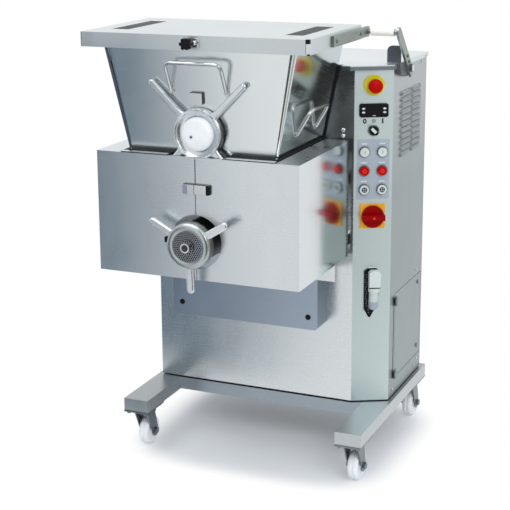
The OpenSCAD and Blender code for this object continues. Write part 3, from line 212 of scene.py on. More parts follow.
def brushed(name, colour, rough, across="Z", grain=0.10, cloud=0.14, extra=None, bright_sides=0.0):
    """Brushed stainless sheet. Its grain changes quickly along one axis and slowly along the rest.
    Faces to the left and right are smoother by bright_sides."""
    finish = Finish(name, Metallic=1.0)
    fine = tuple(BRUSH_ACROSS if axis == across else BRUSH_ALONG for axis in "XYZ")
    lines = finish.noise(fine, 3.0)
    patches = finish.noise(PATCHES)
    smears = finish.noise(SMEARS, 3.0)
    mix = lines * 0.45 + patches * 0.4 + smears * 0.15
    paint = finish.blend(mix, tint(colour, 1 - grain - cloud), tint(colour, 1 + grain + cloud))
    if extra:
        paint = extra(finish, paint)
    gloss = rough + (lines - 0.5) * 0.10 + (patches - 0.5) * 0.14 + (smears - 0.5) * 0.10
    if bright_sides:
        side = finish.facing("X")
        gloss = gloss - (side * side) * bright_sides
    finish.surface(
        Base_Color=paint,
        Roughness=gloss,
        Normal=finish.bump(lines, BRUSH_BUMP, BRUSH_DEPTH),
    )
    return finish.material


def cast(name, colour, rough, pits, metallic=1.0):
    """Cast or plated metal with a fine pitted skin and darker worn patches."""
    finish = Finish(name, Metallic=metallic)
    skin = finish.noise(pits, 4.0)
    patches = finish.noise(30.0)
    wear = patches * 0.6 + skin * 0.4
    finish.surface(
        Base_Color=finish.blend(wear, tint(colour, 0.72), tint(colour, 1.25)),
        Roughness=rough + (patches - 0.5) * 0.22 + (skin - 0.5) * 0.12,
        Normal=finish.bump(skin, 0.25, 0.10),
    )
    return finish.material


def moulded(name, colour, rough, texture=0.04, shine=0.2, other=None, split=None):
    """Moulded plastic or rubber with a fine spark-eroded skin and slight shade changes.
    Where other is given, it is the colour below the height split."""
    finish = Finish(name, Metallic=0.0, IOR=1.49, Specular_IOR_Level=shine)
    skin = finish.noise(2600.0)
    patches = finish.noise(22.0)
    paint = finish.blend(patches, tint(colour, 0.88), tint(colour, 1.10))
    if other:
        below = finish.blend(patches, tint(other, 0.88), tint(other, 1.10))
        paint = finish.blend(finish.along("Z") < split, paint, below)
    finish.surface(
        Base_Color=paint,
        Roughness=rough + (patches - 0.5) * 0.12 + (skin - 0.5) * 0.08,
        Normal=finish.bump(skin, 0.12, texture),
    )
    return finish.material


def enamel(name, colour, rough):
    """Sprayed enamel with a light orange-peel."""
    finish = Finish(name, Metallic=0.0, IOR=1.5, Specular_IOR_Level=0.3)
    peel = finish.noise(420.0)
    patches = finish.noise(12.0)
    finish.surface(
        Base_Color=finish.blend(patches, tint(colour, 0.86), tint(colour, 1.12)),
        Roughness=rough + (patches - 0.5) * 0.14 + (peel - 0.5) * 0.06,
        Normal=finish.bump(peel, 0.18, 0.08),
    )
    return finish.material


def pierced(name, colour, rough, pitch, rim, inner, outer, centre):
    """Plate metal with painted shade round each hole of a triangular pattern: a black disc wider
    than the hole. Pitch of the holes, radius of a rim, and the ring round the centre that holds
    them, all in metres."""
    finish = Finish(name, Metallic=1.0)
    skin = finish.noise(600.0, 3.0)
    x = finish.along("X") - centre.x
    z = finish.along("Z") - centre.z
    u = x * (1 / pitch)
    v = z * (1 / (pitch * math.sqrt(3)))
    # Whole pitches are added first, so that no number whose fraction is taken is below zero
    ahead = 100.5
    spots = []
    for shift in (0.0, 0.5):
        du = u.maths("FRACT", u + (shift + ahead), 0.0) - 0.5
        dv = v.maths("FRACT", v + (shift + ahead), 0.0) - 0.5
        spots.append(du * du + dv * dv * 3.0)
    nearest = spots[0].maths("MINIMUM", spots[0], spots[1])
    away = x * x + z * z
    zone = (away > inner ** 2) * (away < outer ** 2)
    # Painted shade: a black disc at each hole of the pattern
    hole = (nearest < (rim / pitch) ** 2) * zone
    paint = finish.blend(skin, tint(colour, 0.75), tint(colour, 1.25))
    finish.surface(
        Base_Color=finish.blend(hole, paint, HOLE_SHADE_BLACK),
        Roughness=rough + (skin - 0.5) * 0.2,
        Normal=finish.bump(skin, 0.2, 0.08),
    )
    return finish.material


# Painted shade and dark reflection for the corner between the hopper and the column
CORNER_SHADE = (0.13, 0.13, 0.12, 1.0)
DARKER_GREEN = (0.16, 0.22, 0.22, 1.0)
# Painted shade for the legs' upper faces
TOP_SHADE_GREY = (0.24, 0.27, 0.28, 1.0)
# Painted shade in and round the cutting plate's holes
HOLE_SHADE_BLACK = (0.012, 0.012, 0.014, 1.0)
# Painted shade and dark reflection along the lip of the cabinet's top
STRIP_PAINTED_SHADE = (0.17, 0.205, 0.23, 1.0)
STRIP_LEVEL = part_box("cabinet_top")[1].z - 2.2 * MM
STRIP_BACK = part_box("control_column")[1].y


def darker_low(finish, paint):
    """The cabinet's side is darker and greener towards the floor."""
    low = finish.fade(finish.along("Z"), 1.0, 0.7)
    return finish.blend(low * 0.5, paint, DARKER_GREEN)


def shaded_corner(finish, paint):
    """The cabinet's front is darkened in the corner between the hopper and the column: painted
    shade and dark reflection.
    """
    across = finish.fade(finish.along("X"), 0.15, 0.20)
    up = finish.fade(finish.along("Z"), 0.72, 0.84)
    return finish.blend(across * up * 0.75, paint, CORNER_SHADE)


def darker_top(finish, paint):
    """The legs' upper faces are darker than their sides: painted shade."""
    return finish.blend((finish.facing("Z") > 0.7) * 0.5, paint, TOP_SHADE_GREY)


def with_painted_shade_strip(finish, paint):
    """The lip along the front of the cabinet's top is dark, up to the column's rear edge: painted
    shade and dark reflection.
    """
    strip = (finish.along("Z") < STRIP_LEVEL) * (finish.along("Y") < STRIP_BACK)
    return finish.blend(strip, paint, STRIP_PAINTED_SHADE)


panel_steel = brushed("brushed_panel_steel", (0.68, 0.715, 0.735), 0.28, grain=0.05,
                      extra=shaded_corner)
column_steel = brushed("brushed_column_steel", (0.57, 0.66, 0.66), 0.38, grain=0.05, cloud=0.10)
side_steel = brushed("brushed_side_steel", (0.42, 0.45, 0.47), 0.36, grain=0.05, cloud=0.12,
                     extra=darker_low)
# A lighter copy of the side's steel for the louvre hoods: painted light
lit_hood_steel = brushed("brushed_hood_steel_painted_light", (0.60, 0.64, 0.66), 0.36, grain=0.05, cloud=0.12)
door_steel = brushed("brushed_door_steel", (0.66, 0.70, 0.725), 0.29, grain=0.035, cloud=0.08,
                     bright_sides=0.14)
hopper_steel = brushed("bright_hopper_steel", (0.72, 0.76, 0.77), 0.22, grain=0.04, cloud=0.07,
                       bright_sides=0.10)
lid_steel = brushed("brushed_lid_steel", (0.61, 0.655, 0.675), 0.36, across="Y", grain=0.05,
                    cloud=0.08)
top_steel = brushed("brushed_top_steel", (0.69, 0.73, 0.745), 0.38, across="Y", grain=0.05,
                    cloud=0.08, extra=with_painted_shade_strip)
frame_steel = brushed("brushed_frame_steel", (0.50, 0.53, 0.55), 0.34, across="Y", grain=0.07,
                      extra=darker_top)
beam_steel = brushed("brushed_beam_steel", (0.34, 0.39, 0.43), 0.34, across="Y", grain=0.07)
cover_steel = brushed("brushed_cover_steel", (0.36, 0.42, 0.50), 0.36, grain=0.06)
polished_steel = cast("polished_steel", (0.66, 0.68, 0.70), 0.17, 700.0)
satin_casting = cast("satin_casting", (0.70, 0.74, 0.77), 0.26, 500.0)
nut_casting = cast("nut_casting", (0.46, 0.50, 0.51), 0.32, 500.0)
# The nut's side is duller than its lip, and darker in colour: painted shade behind the lip
nut_side_shade = cast("dull_nut_side_painted_shade", (0.33, 0.34, 0.31), 0.44, 500.0)
# The bezels are darker than their own light silver: painted shade round the buttons
bezel_shade_metal = cast("satin_bezel_painted_shade", (0.19, 0.21, 0.22), 0.30, 900.0)
# Dark steel for the hopper's front left edge: painted shade
edge_shade_steel = cast("edge_painted_shade_steel", (0.10, 0.12, 0.15), 0.34, 600.0)
arm_steel = cast("dull_arm_steel", (0.30, 0.34, 0.32), 0.38, 500.0)
barrel_steel = cast("dull_barrel_steel", (0.05, 0.055, 0.055), 0.40, 400.0)
zinc = cast("zinc_plate", (0.20, 0.23, 0.25), 0.34, 800.0)
nylon = moulded("white_nylon", (0.80, 0.82, 0.83), 0.42)
# A lighter copy of the white nylon for the wheels: painted light in the legs' shade
lit_wheel_nylon = moulded("wheel_nylon_painted_light", (0.93, 0.95, 0.97), 0.42)
cream = moulded("cream_grip", (0.80, 0.79, 0.72), 0.45)
rubber = moulded("black_rubber", (0.008, 0.009, 0.009), 0.6, texture=0.08, shine=0.1)
black_plastic = moulded("black_plastic", (0.006, 0.007, 0.007), 0.42, shine=0.12)
dark_trim = moulded("dark_trim", (0.05, 0.055, 0.06), 0.45)
grey_mark = moulded("grey_mark", (0.20, 0.24, 0.24), 0.45)
red_plastic = moulded("red_plastic", (0.46, 0.003, 0.002), 0.34, shine=0.05)
switch_red = moulded("deep_red_plastic", (0.27, 0.001, 0.002), 0.34, shine=0.05)
bright_red = moulded("bright_red", (0.80, 0.06, 0.03), 0.34, shine=0.1)
yellow_plastic = moulded("yellow_plastic", (0.66, 0.58, 0.02), 0.36, other=(0.80, 0.38, 0.008),
                         split=0.85)
white_plastic = moulded("white_plastic", (0.60, 0.66, 0.63), 0.36)
label_film = moulded("label_film", (0.37, 0.42, 0.47), 0.42)
glass_black = moulded("black_window", (0.003, 0.003, 0.004), 0.12, texture=0.0, shine=0.15)
drive_enamel = enamel("grey_drive_enamel", (0.15, 0.18, 0.21), 0.40)
slate_enamel = enamel("slate_enamel", (0.075, 0.082, 0.10), 0.42)
black_enamel = enamel("black_enamel", (0.03, 0.03, 0.033), 0.42)

plate_steel = pierced("pierced_plate_steel", (0.30, 0.315, 0.34), 0.34, pitch=5.4 * MM,
                      rim=1.95 * MM, inner=11.5 * MM, outer=38.2 * MM,
                      centre=Vector((head.x, 0, HEAD_Z * MM)))

CORNERS = ("fl", "fr", "rl", "rr")
NODES_IN = [
    (frame_steel, ["legs"]),
    (beam_steel, ["cross_beams"]),
    (zinc, ["castor_plates"] + ["castor_fork_" + corner for corner in CORNERS]),
    (lit_wheel_nylon, ["castor_wheel_" + corner for corner in CORNERS]),
    (dark_trim, ["cabinet_floor", "lid_grilles"]),
    (panel_steel, ["front_panel", "evaporator_casing"]),
    (side_steel, ["cabinet_wrap", "right_panel", "service_door"]),
    (top_steel, ["cabinet_top"]),
    (column_steel, ["control_column"]),
    (cover_steel, ["bracket_cover"]),
    (door_steel, ["door_left", "door_right"]),
    (hopper_steel, ["hopper"]),
    (lid_steel, ["lid"]),
    (arm_steel, ["lid_arm"]),
    (barrel_steel, ["head_barrel"]),
    (plate_steel, ["cutting_plate"]),
    (polished_steel, ["door_hinges", "hopper_handles", "mixer_paddle", "worm", "knife", "latch"]),
    (satin_casting, ["bearing_spider", "ring_nut"]),
    (bezel_shade_metal, ["switch_bezels"]),
    (yellow_plastic, ["switch_backplates"]),
    (red_plastic, ["estop_button", "button_a2", "button_b2"]),
    (switch_red, ["main_switch_knob"]),
    (white_plastic, ["supply_inlet", "button_a1", "button_b1", "button_a3", "button_b3"]),
    (black_plastic, ["thermostat", "selector_knob", "lid_knob", "fan"]),
    (nylon, ["bearing_cap"]),
    (cream, ["grip_sleeve"]),
    (rubber, ["hopper_gasket"]),
    (slate_enamel, ["arm_pivot"]),
    (drive_enamel, ["gearmotors", "electrical_box"]),
    (black_enamel, ["cooling_unit", "brake_pedal_fl", "brake_pedal_fr"]),
]

# Sheet edges and mouldings get a small rounding, in millimetres
NODE_ROUNDING = {
    "legs": 1.6, "cross_beams": 1.2, "lid": 1.4, "door_left": 1.4, "door_right": 1.4,
    "bracket_cover": 3.0, "evaporator_casing": 1.2, "thermostat": 1.0, "estop_button": 1.2,
    "main_switch_knob": 1.6, "selector_knob": 0.8, "switch_backplates": 0.8, "latch": 1.2,
    "switch_bezels": 0.6, "lid_knob": 1.2, "grip_sleeve": 1.5, "lid_arm": 0.8,
}

# Large flat walls beside small round corners, kept flat in their shading
FLAT_WALLS = ("hopper", "lid", "cabinet_top", "control_column", "evaporator_casing")


def round_edges(ob, width):
    """Rounds the edges that turn by more than 40 degrees."""
    bevel = ob.modifiers.new("rounded_edges", "BEVEL")
    bevel.width = width * MM
    bevel.segments = 2
    bevel.limit_method = "ANGLE"
    bevel.angle_limit = math.radians(40)
    bevel.use_clamp_overlap = True
    bevel.harden_normals = False


for material, nodes in NODES_IN:
    for node in nodes:
        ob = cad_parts[node]
        ob.data.materials.clear()
        ob.data.materials.append(material)
        if node in NODE_ROUNDING:
            round_edges(ob, NODE_ROUNDING[node])
        if node in FLAT_WALLS:
            ob.modifiers.new("flat_walls", "WEIGHTED_NORMAL").keep_sharp = True

# Mesh tools. Each adds to a bmesh in local millimetres; local -Y is out of the wall.


def lathe(bm, spot, profile, steps=32):
    """Turns a profile of (radius, distance out) about local Y. A radius of zero closes an end."""
    rings = []
    for radius, out in profile:
        if radius == 0:
            rings.append([bm.verts.new(spot @ Vector((0, -out * MM, 0)))])
            continue
        ring = []
        for i in range(steps):
            a = 2 * math.pi * i / steps
            ring.append(bm.verts.new(spot @ Vector((radius * math.cos(a) * MM, -out * MM,
                                                    radius * math.sin(a) * MM))))
        rings.append(ring)
    for lower, upper in zip(rings, rings[1:]):
        for i in range(steps):
            j = (i + 1) % steps
            corners = [lower[i % len(lower)], lower[j % len(lower)],
                       upper[j % len(upper)], upper[i % len(upper)]]
            corners = list(dict.fromkeys(corners))
            if len(corners) > 2:
                bm.faces.new(corners)


def slab(bm, spot, outline, inner, outer):
    """A plate with an outline of local (x, z) points, from one distance out to another."""
    back = [bm.verts.new(spot @ Vector((x * MM, -inner * MM, z * MM))) for x, z in outline]
    front = [bm.verts.new(spot @ Vector((x * MM, -outer * MM, z * MM))) for x, z in outline]
    bm.faces.new(back)
    bm.faces.new(list(reversed(front)))
    for i in range(len(outline)):
        j = (i + 1) % len(outline)
        bm.faces.new([back[j], back[i], front[i], front[j]])


def rectangle(width, height, radius=0.0, steps=5):
    """Corners of a rectangle round the middle, with rounded corners if a radius is given."""
    w, h = width / 2 - radius, height / 2 - radius
    points = []
    for turn, (x, z) in enumerate(((w, h), (-w, h), (-w, -h), (w, -h))):
        for i in range(steps + 1 if radius else 1):
            a = math.pi / 2 * (turn + i / steps)
            points.append((x + radius * math.cos(a), z + radius * math.sin(a)))
    return points


def disc(radius, steps=28, across=1.0):
    """Corners of a round, or of an oval that is wider or narrower by the factor across."""
    return [(radius * across * math.cos(2 * math.pi * i / steps),
             radius * math.sin(2 * math.pi * i / steps)) for i in range(steps)]


def tube(bm, points, radius, sides=14):
    """A round rod through points that are already in the frame."""
    rings = []
    side = None
    for i, point in enumerate(points):
        before = points[max(i - 1, 0)]
        after = points[min(i + 1, len(points) - 1)]
        along = (after - before).normalized()
        side = side - along * side.dot(along) if side else along.orthogonal()
        side.normalize()
        other = along.cross(side)
        turns = [2 * math.pi * k / sides for k in range(sides)]
        spokes = [side * math.cos(a) + other * math.sin(a) for a in turns]
        rings.append([bm.verts.new(point + spoke * radius * MM) for spoke in spokes])
    for lower, upper in zip(rings, rings[1:]):
        for k in range(sides):
            j = (k + 1) % sides
            bm.faces.new([lower[k], lower[j], upper[j], upper[k]])
    bm.faces.new(list(reversed(rings[0])))
    bm.faces.new(rings[-1])


def into_scene(name, bm, material):
    """Turns a bmesh into an object with one material."""
    mesh = bpy.data.meshes.new(name)
    bm.to_mesh(mesh)
    bm.free()
    mesh.materials.append(material)
    ob = bpy.data.objects.new(name, mesh)
    bpy.context.scene.collection.objects.link(ob)
    return ob


def finish_piece(name, bm, body, material, rounding=0.0):
    """A smooth-shaded piece that rides on a body, with its edges rounded by millimetres."""
    bmesh.ops.recalc_face_normals(bm, faces=bm.faces)
    ob = into_scene(name, bm, material)
    ob.data.shade_smooth()
    ob.data.set_sharp_from_angle(angle=math.radians(38))
    if rounding:
        round_edges(ob, rounding)
    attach(ob, body)
    return ob


# Handles of bent rod, with round bends in place of the drawing's corners

HANDLE_ROD = 4.5
BEND = 18.0
HANDLE_FOOT = [(0, 0), (8, 0), (8, 2), (6.6, 3.2), (0, 3.2)]


def bent_path(corners, bend, steps=7):
    """The corner points joined by straight runs, with each inner corner rounded off."""
    points = [corners[0]]
    for before, corner, after in zip(corners, corners[1:], corners[2:]):
        start = corner + (before - corner).normalized() * bend * MM
        end = corner + (after - corner).normalized() * bend * MM
        for i in range(steps + 1):
            t = i / steps
            points.append(start * (1 - t) ** 2 + corner * 2 * t * (1 - t) + end * t ** 2)
    points.append(corners[-1])
    return points


def handle(name, spot, length, out, rise):
    """A rod bent to a U that stands out from the hopper and leans upwards, on two round feet."""
    sunk = -2
    corners = [Vector((-length / 2, sunk, 0)), Vector((-length / 2, -out, rise)),
               Vector((length / 2, -out, rise)), Vector((length / 2, sunk, 0))]
    bm = bmesh.new()
    tube(bm, bent_path([spot @ (c * MM) for c in corners], BEND), HANDLE_ROD)
    for x in (-length / 2, length / 2):
        lathe(bm, shifted(spot, x, 0, 0), HANDLE_FOOT, 24)
    ob = finish_piece(name, bm, "machine", polished_steel)
    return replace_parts(ob, "hopper_handles")


HOPPER_TOP_Z = 1118
HOPPER_TOP_HALF = 248.5
HOPPER_TOP_Y = 22
HOPPER_DEEP = 254
FRONT_LEAN = math.atan2(20, HOPPER_DEEP)
SIDE_LEAN = math.atan2(52.5, HOPPER_DEEP)
HOPPER_FOOT_Z = 866
CABINET_FRONT_Y = 358


def on_hopper_front(x, down):
    """A place on the hopper's front wall, down along the wall from its top edge."""
    lean = Matrix.Rotation(FRONT_LEAN, 4, "X")
    return shifted(upright(0, HOPPER_TOP_Y, HOPPER_TOP_Z) @ lean, x, 0, -down)


def on_hopper_side(y, down):
    """A place on the hopper's right wall, down along the wall from its top edge."""
    lean = Matrix.Rotation(SIDE_LEAN, 4, "Y")
    top = Matrix.Translation(place(HOPPER_TOP_HALF, y, HOPPER_TOP_Z))
    return shifted(top @ lean @ Matrix.Rotation(math.pi / 2, 4, "Z"), 0, 0, -down)


handle("front_handle", on_hopper_front(0, 103), length=146, out=34, rise=76)
handle("side_handle", on_hopper_side(207, 216), length=130, out=24, rise=66)


def hopper_edges():
    """Dark folded edge at the front left and black lines in the gaps against the cabinet, both
    painted shade, painted shade along the upper and right edge of the tab, and the bright strips
    in front of the apron."""
    bm = bmesh.new()
    # The folded edge's dark steel is painted shade
    tube(bm, [place(-195.0, 43.0, HOPPER_FOOT_Z), place(-247.2, 23.0, 1117)], 3.7)
    finish_piece("hopper_folded_edge", bm, "machine", edge_shade_steel)
    # Black rods in the gaps at the hopper's rear edges: painted shade
    bm = bmesh.new()
    for side in (-1, 1):
        tube(bm, [place(side * 197.5, CABINET_FRONT_Y - 3, HOPPER_FOOT_Z),
                  place(side * 235.5, CABINET_FRONT_Y - 3, 1049)], 2.8)
    finish_piece("hopper_gap_shade_lines", bm, "machine", rubber)
    # Dark strips along the tab's upper and right edge: painted shade
    bm = bmesh.new()
    tab, tab_top, tab_out = on_hopper_front(0, 131), 28.3, 8.4
    slab(bm, tab, [(-21.1, 27.3), (10.0, 27.3), (10.0, tab_top), (-21.1, tab_top)], 0, tab_out)
    slab(bm, tab, [(9.9, 0), (10.6, 0), (10.6, tab_top), (9.9, tab_top)], 0, tab_out)
    finish_piece("hopper_tab_shade_edge", bm, "machine", dark_trim)
    bm = bmesh.new()
    for side in (-1, 1):
        slab(bm, upright(side * 141, 16, 864.4), rectangle(130, 0.8), 0, 15)
    finish_piece("apron_front_strips", bm, "machine", door_steel)


hopper_edges()

# Rounded castings and wheels in place of the drawing's plain turned ones


def radial_bar(bm, spot, angle, stations, thick):
    """A bar out from a centre, given as (distance, half width) pairs, with a rounded tip."""
    turned = spot @ Matrix.Rotation(math.radians(-angle), 4, "Y")
    reach, half = stations[-1]
    tip = [(reach - half + half * math.cos(a), half * math.sin(a))
           for a in (math.pi * (i / 8 - 0.5) for i in range(1, 8))]
    low = [(r, -w) for r, w in stations[:-1]] + [(reach - half, -half)]
    high = [(reach - half, half)] + [(r, w) for r, w in reversed(stations[:-1])]
    slab(bm, turned, low + tip + high, -thick, 0)


BRACKET_BAR = [(53, 17), (60, 12.5), (68, 9.5), (80, 8.5), (178, 8)]
BRACKET_RING = [(43.5, -38), (43.5, -9), (47, -8), (52, -5.5), (56, -2), (58.5, 0.4),
                (60.5, 0.8), (62.3, -0.8), (63, -4), (63, -18), (50, -18), (50, -38)]
CAP_DOME = [(0, 0.4), (20, 0.2), (30, -0.5), (35, -2), (38.5, -4.6), (40.8, -8), (42, -13),
            (42, -46), (0, -46)]
NUT_LIP = [(39, -14), (39, -3), (39.8, -1), (41.8, 0), (46, 0.3), (51, -0.8), (54.6, -3.2),
           (57, -6.6), (57.4, -9), (50, -10), (50, -14), (39, -14)]
NUT_SIDE = [(50, -9.5), (57.4, -9), (58, -11), (58, -27), (57, -30), (51.5, -30),
            (51.5, -14), (50, -13.5), (50, -9.5)]
NUT_ARM = [(53, 11), (60, 9.5), (100, 9.5), (119, 9.3)]
WHEEL_HALF = [(0, 15), (13, 15), (14.5, 13.2), (20, 12), (27, 12.2), (31, 14), (34, 13.8),
              (37, 12), (39.2, 8.5), (40, 4.5), (39.7, 2.4), (38.9, 1.3)]


def bearing_bracket():
    """Four rounded bars that flare into a dished ring."""
    spot = upright(0, 12, MIXER_Z)
    bm = bmesh.new()
    for angle in (45, 135, 225, 315):
        radial_bar(bm, spot, angle, BRACKET_BAR, 12)
    ob = finish_piece("bearing_bracket_arms", bm, "machine", satin_casting, 4.5)
    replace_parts(ob, "bearing_spider")
    bm = bmesh.new()
    lathe(bm, spot, BRACKET_RING, 64)
    ob = finish_piece("bearing_bracket_ring", bm, "machine", satin_casting)
    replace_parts(ob, "bearing_spider")


def domed_cap():
    """The white cap in the bracket's ring."""
    bm = bmesh.new()
    lathe(bm, upright(0, 3, MIXER_Z), CAP_DOME, 64)
    ob = finish_piece("bearing_cap_dome", bm, "machine", nylon)
    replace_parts(ob, "bearing_cap")


def ring_nut():
    """Rolled lip, round body and three tapered arms."""
    spot = upright(0, -52, HEAD_Z)
    bm = bmesh.new()
    lathe(bm, spot, NUT_LIP, 72)
    ob = finish_piece("ring_nut_lip", bm, "ring_nut_body", nut_casting)
    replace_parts(ob, "ring_nut")
    bm = bmesh.new()
    lathe(bm, spot, NUT_SIDE, 72)
    # The side's darker colour is painted shade
    ob = finish_piece("ring_nut_side", bm, "ring_nut_body", nut_side_shade)
    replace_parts(ob, "ring_nut")
    bm = bmesh.new()
    for angle in (31.5, 151.5, 271.5):
        radial_bar(bm, shifted(spot, 0, 7, 0), angle, NUT_ARM, 14)
    ob = finish_piece("ring_nut_arms", bm, "ring_nut_body", satin_casting, 3.8)
    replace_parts(ob, "ring_nut")


def stub_bore():
    """The dark centre hole in the worm's front end, drawn as a black disc: painted shade."""
    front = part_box("worm")[0].y
    bm = bmesh.new()
    spot = Matrix.Translation(Vector((head.x, front, HEAD_Z * MM)))
    lathe(bm, spot, [(8.6, -0.4), (8.6, 0.3), (6.0, 0.5), (5.2, 0.1), (0, 0.1)], 28)
    finish_piece("worm_centre_hole", bm, "worm_body", black_enamel)


def castor_wheels():
    """Wheels with a dished side, a rounded tread and a shallow groove round its middle."""
    profile = WHEEL_HALF + [(r, -out) for r, out in reversed(WHEEL_HALF)]
    for corner in CORNERS:
        node = "castor_wheel_" + corner
        spot = Matrix.Translation(middle(node)) @ Matrix.Rotation(math.pi / 2, 4, "Z")
        bm = bmesh.new()
        lathe(bm, spot, profile, 56)
        # The wheels' lighter nylon is painted light
        ob = finish_piece("wheel_tread_" + corner, bm, "wheel_" + corner, lit_wheel_nylon)
        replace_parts(ob, node)


bearing_bracket()
domed_cap()
ring_nut()
stub_bore()
castor_wheels()

# Control column: label film, marks, thermostat face, button faces


LABEL_TOP = 862
LABEL_LOW = 706
BUTTON_SIDE = 23
BUTTON_FACE = 9.8
MARKS_Z = 909


def label_sheet():
    """The film under the push buttons."""
    bm = bmesh.new()
    slab(bm, on_column(COLUMN_MIDDLE, (LABEL_TOP + LABEL_LOW) / 2),
         rectangle(84, LABEL_TOP - LABEL_LOW, 4), 0.0, 0.35)
    finish_piece("label_sheet", bm, "machine", label_film)


def marks():
    """The 0 and I of the cooling switch, with a six-armed frost star between them, and the
    pale strips over the push buttons."""
    bm = bmesh.new()
    zero = on_column(COLUMN_MIDDLE - BUTTON_SIDE, MARKS_Z)
    ring = 24
    for i in range(ring):
        a, b = 2 * math.pi * i / ring, 2 * math.pi * (i + 1) / ring
        corners = [(4.9 * math.cos(a), 6.4 * math.sin(a)), (4.9 * math.cos(b), 6.4 * math.sin(b)),
                   (1.7 * math.cos(b), 3.4 * math.sin(b)), (1.7 * math.cos(a), 3.4 * math.sin(a))]
        slab(bm, zero, corners, 0.0, 0.3)
    slab(bm, on_column(COLUMN_MIDDLE + BUTTON_SIDE, MARKS_Z), rectangle(3.8, 12.6), 0.0, 0.3)
    finish_piece("switch_marks", bm, "machine", black_plastic)
    bm = bmesh.new()
    for i in range(3):
        star = on_column(COLUMN_MIDDLE, MARKS_Z) @ Matrix.Rotation(math.pi * i / 3, 4, "Y")
        slab(bm, star, rectangle(1.3, 12), 0.0, 0.3 + 0.02 * i)
        for up in (-1, 1):
            for lean in (-1, 1):
                barb = shifted(star, lean * 1.4, 0, up * 3.9)
                turn = Matrix.Rotation(up * lean * -0.9, 4, "Y")
                slab(bm, barb @ turn, rectangle(1.0, 3.6), 0.0, 0.28)
    finish_piece("frost_mark", bm, "machine", grey_mark)
    bm = bmesh.new()
    for side in (-1, 1):
        for row in (1, 2, 3):
            z = level(f"button_a{row}") + 20.5
            slab(bm, on_column(COLUMN_MIDDLE + side * BUTTON_SIDE, z),
                 rectangle(15, 3.6, 1), 0.3, 0.45)
    finish_piece("label_strips", bm, "machine", white_plastic)


def thermostat_face():
    """Black window, four oval keys and a pale bar under the window."""
    z = level("thermostat")
    sunk = 4.8
    bm = bmesh.new()
    slab(bm, on_column(COLUMN_MIDDLE, z), rectangle(41, 22, 1.5), sunk, 5.5)
    finish_piece("thermostat_window", bm, "machine", glass_black)
    bm = bmesh.new()
    for side in (-1, 1):
        for up in (-1, 1):
            slab(bm, on_column(COLUMN_MIDDLE + side * 27, z + up * 4.8),
                 disc(2.5, 20, across=1.7), sunk, 6.0)
    slab(bm, on_column(COLUMN_MIDDLE, z - 13.6), rectangle(8, 1.6), sunk, 5.15)
    finish_piece("thermostat_keys", bm, "machine", white_plastic, 0.4)


def button_faces():
    """Each push button has its own mark: a stroke, a ring, or a dark disc with four petals."""
    face, sunk = BUTTON_FACE, BUTTON_FACE - 0.3
    for side, column in ((-1, "a"), (1, "b")):
        for row in (1, 2, 3):
            spot = on_column(COLUMN_MIDDLE + side * BUTTON_SIDE, level(f"button_a{row}"))
            body = f"button_{column}{row}_body"
            bm = bmesh.new()
            if row == 1:
                slab(bm, spot, rectangle(1.8, 9), face - 0.2, face + 0.3)
                material, slot = grey_mark, "zinc"
            elif row == 2:
                lathe(bm, spot, [(3.2, sunk), (3.2, face + 0.4), (5.0, face + 0.4), (5.0, sunk)])
                material, slot = bright_red, "red_plastic"
            else:
                lathe(bm, spot, [(0, sunk), (7.2, sunk), (7.2, face + 0.3), (0, face + 0.4)])
                material, slot = dark_trim, "black_plastic"
            finish_piece(f"button_mark_{column}{row}", bm, body, material)
            if row == 3:
                bm = bmesh.new()
                for x, z in ((-2.2, 2.4), (2.2, 2.4), (-2.2, -2.4), (2.2, -2.4)):
                    slab(bm, shifted(spot, x, 0, z), disc(1.5, 12, across=0.7), face, face + 0.8)
                finish_piece("button_petals_" + column, bm, body, white_plastic)


label_sheet()
marks()
thermostat_face()
button_faces()


def selector_insert():
    """The pale pointer set in the selector's grip."""
    spot = on_column(COLUMN_MIDDLE, level("selector_knob"))
    turned = spot @ Matrix.Rotation(math.radians(-45), 4, "Y")
    bm = bmesh.new()
    slab(bm, shifted(turned, 0, 0, 2.5), rectangle(7.6, 16, 1.0), 15.8, 17.2)
    finish_piece("selector_pointer", bm, "selector_body", white_plastic, 0.4)


def switch_screw():
    """The screw in the middle of the main switch's grip bar."""
    bm = bmesh.new()
    lathe(bm, on_column(COLUMN_MIDDLE, level("main_switch_knob")),
          [(3.0, 29.0), (3.0, 29.9), (2.2, 30.3), (0, 30.4)], 20)
    finish_piece("switch_screw", bm, "main_switch_body", bright_red)


selector_insert()
switch_screw()

# Fasteners and trim

CABINET_SIDE_X = 366
ARM_Z = 1135


def screw(bm, spot, radius, height):
    """A round head with a domed rim and a small recess in its middle."""
    rim, socket = height * 0.65, height * 0.7
    lathe(bm, spot, [(0, 0), (radius, 0), (radius, rim), (radius * 0.8, height * 0.92),
                     (radius * 0.35, height), (radius * 0.3, socket), (0, socket)], 20)


def side_spot(y, z, x=CABINET_SIDE_X):
    """A place on the machine's right side, local -Y pointing right."""
    return Matrix.Translation(place(x, y, z)) @ Matrix.Rotation(math.pi / 2, 4, "Z")


def panel_screws():
    """Screws of the right panel, the service door and the top, and two domed nuts in front."""
    bm = bmesh.new()
    for y, z in ((651, 1030), (440, 1030), (640, 172), (440, 172)):
        screw(bm, side_spot(y, z), 4, 2.2)
    for y, z in ((647, 452), (662, 188)):
        screw(bm, side_spot(y, z), 3.5, 2.0)
    screw(bm, side_spot(676, 1045, 370), 4, 2.2)
    finish_piece("side_screws", bm, "machine", polished_steel)
    bm = bmesh.new()
    for z in (886, 871):
        lathe(bm, upright(250, CABINET_FRONT_Y, z),
              [(6.5, 0), (6.5, 3), (5.6, 5.5), (3.6, 7.6), (0, 8.4)], 24)
    finish_piece("panel_domed_nuts", bm, "machine", polished_steel)


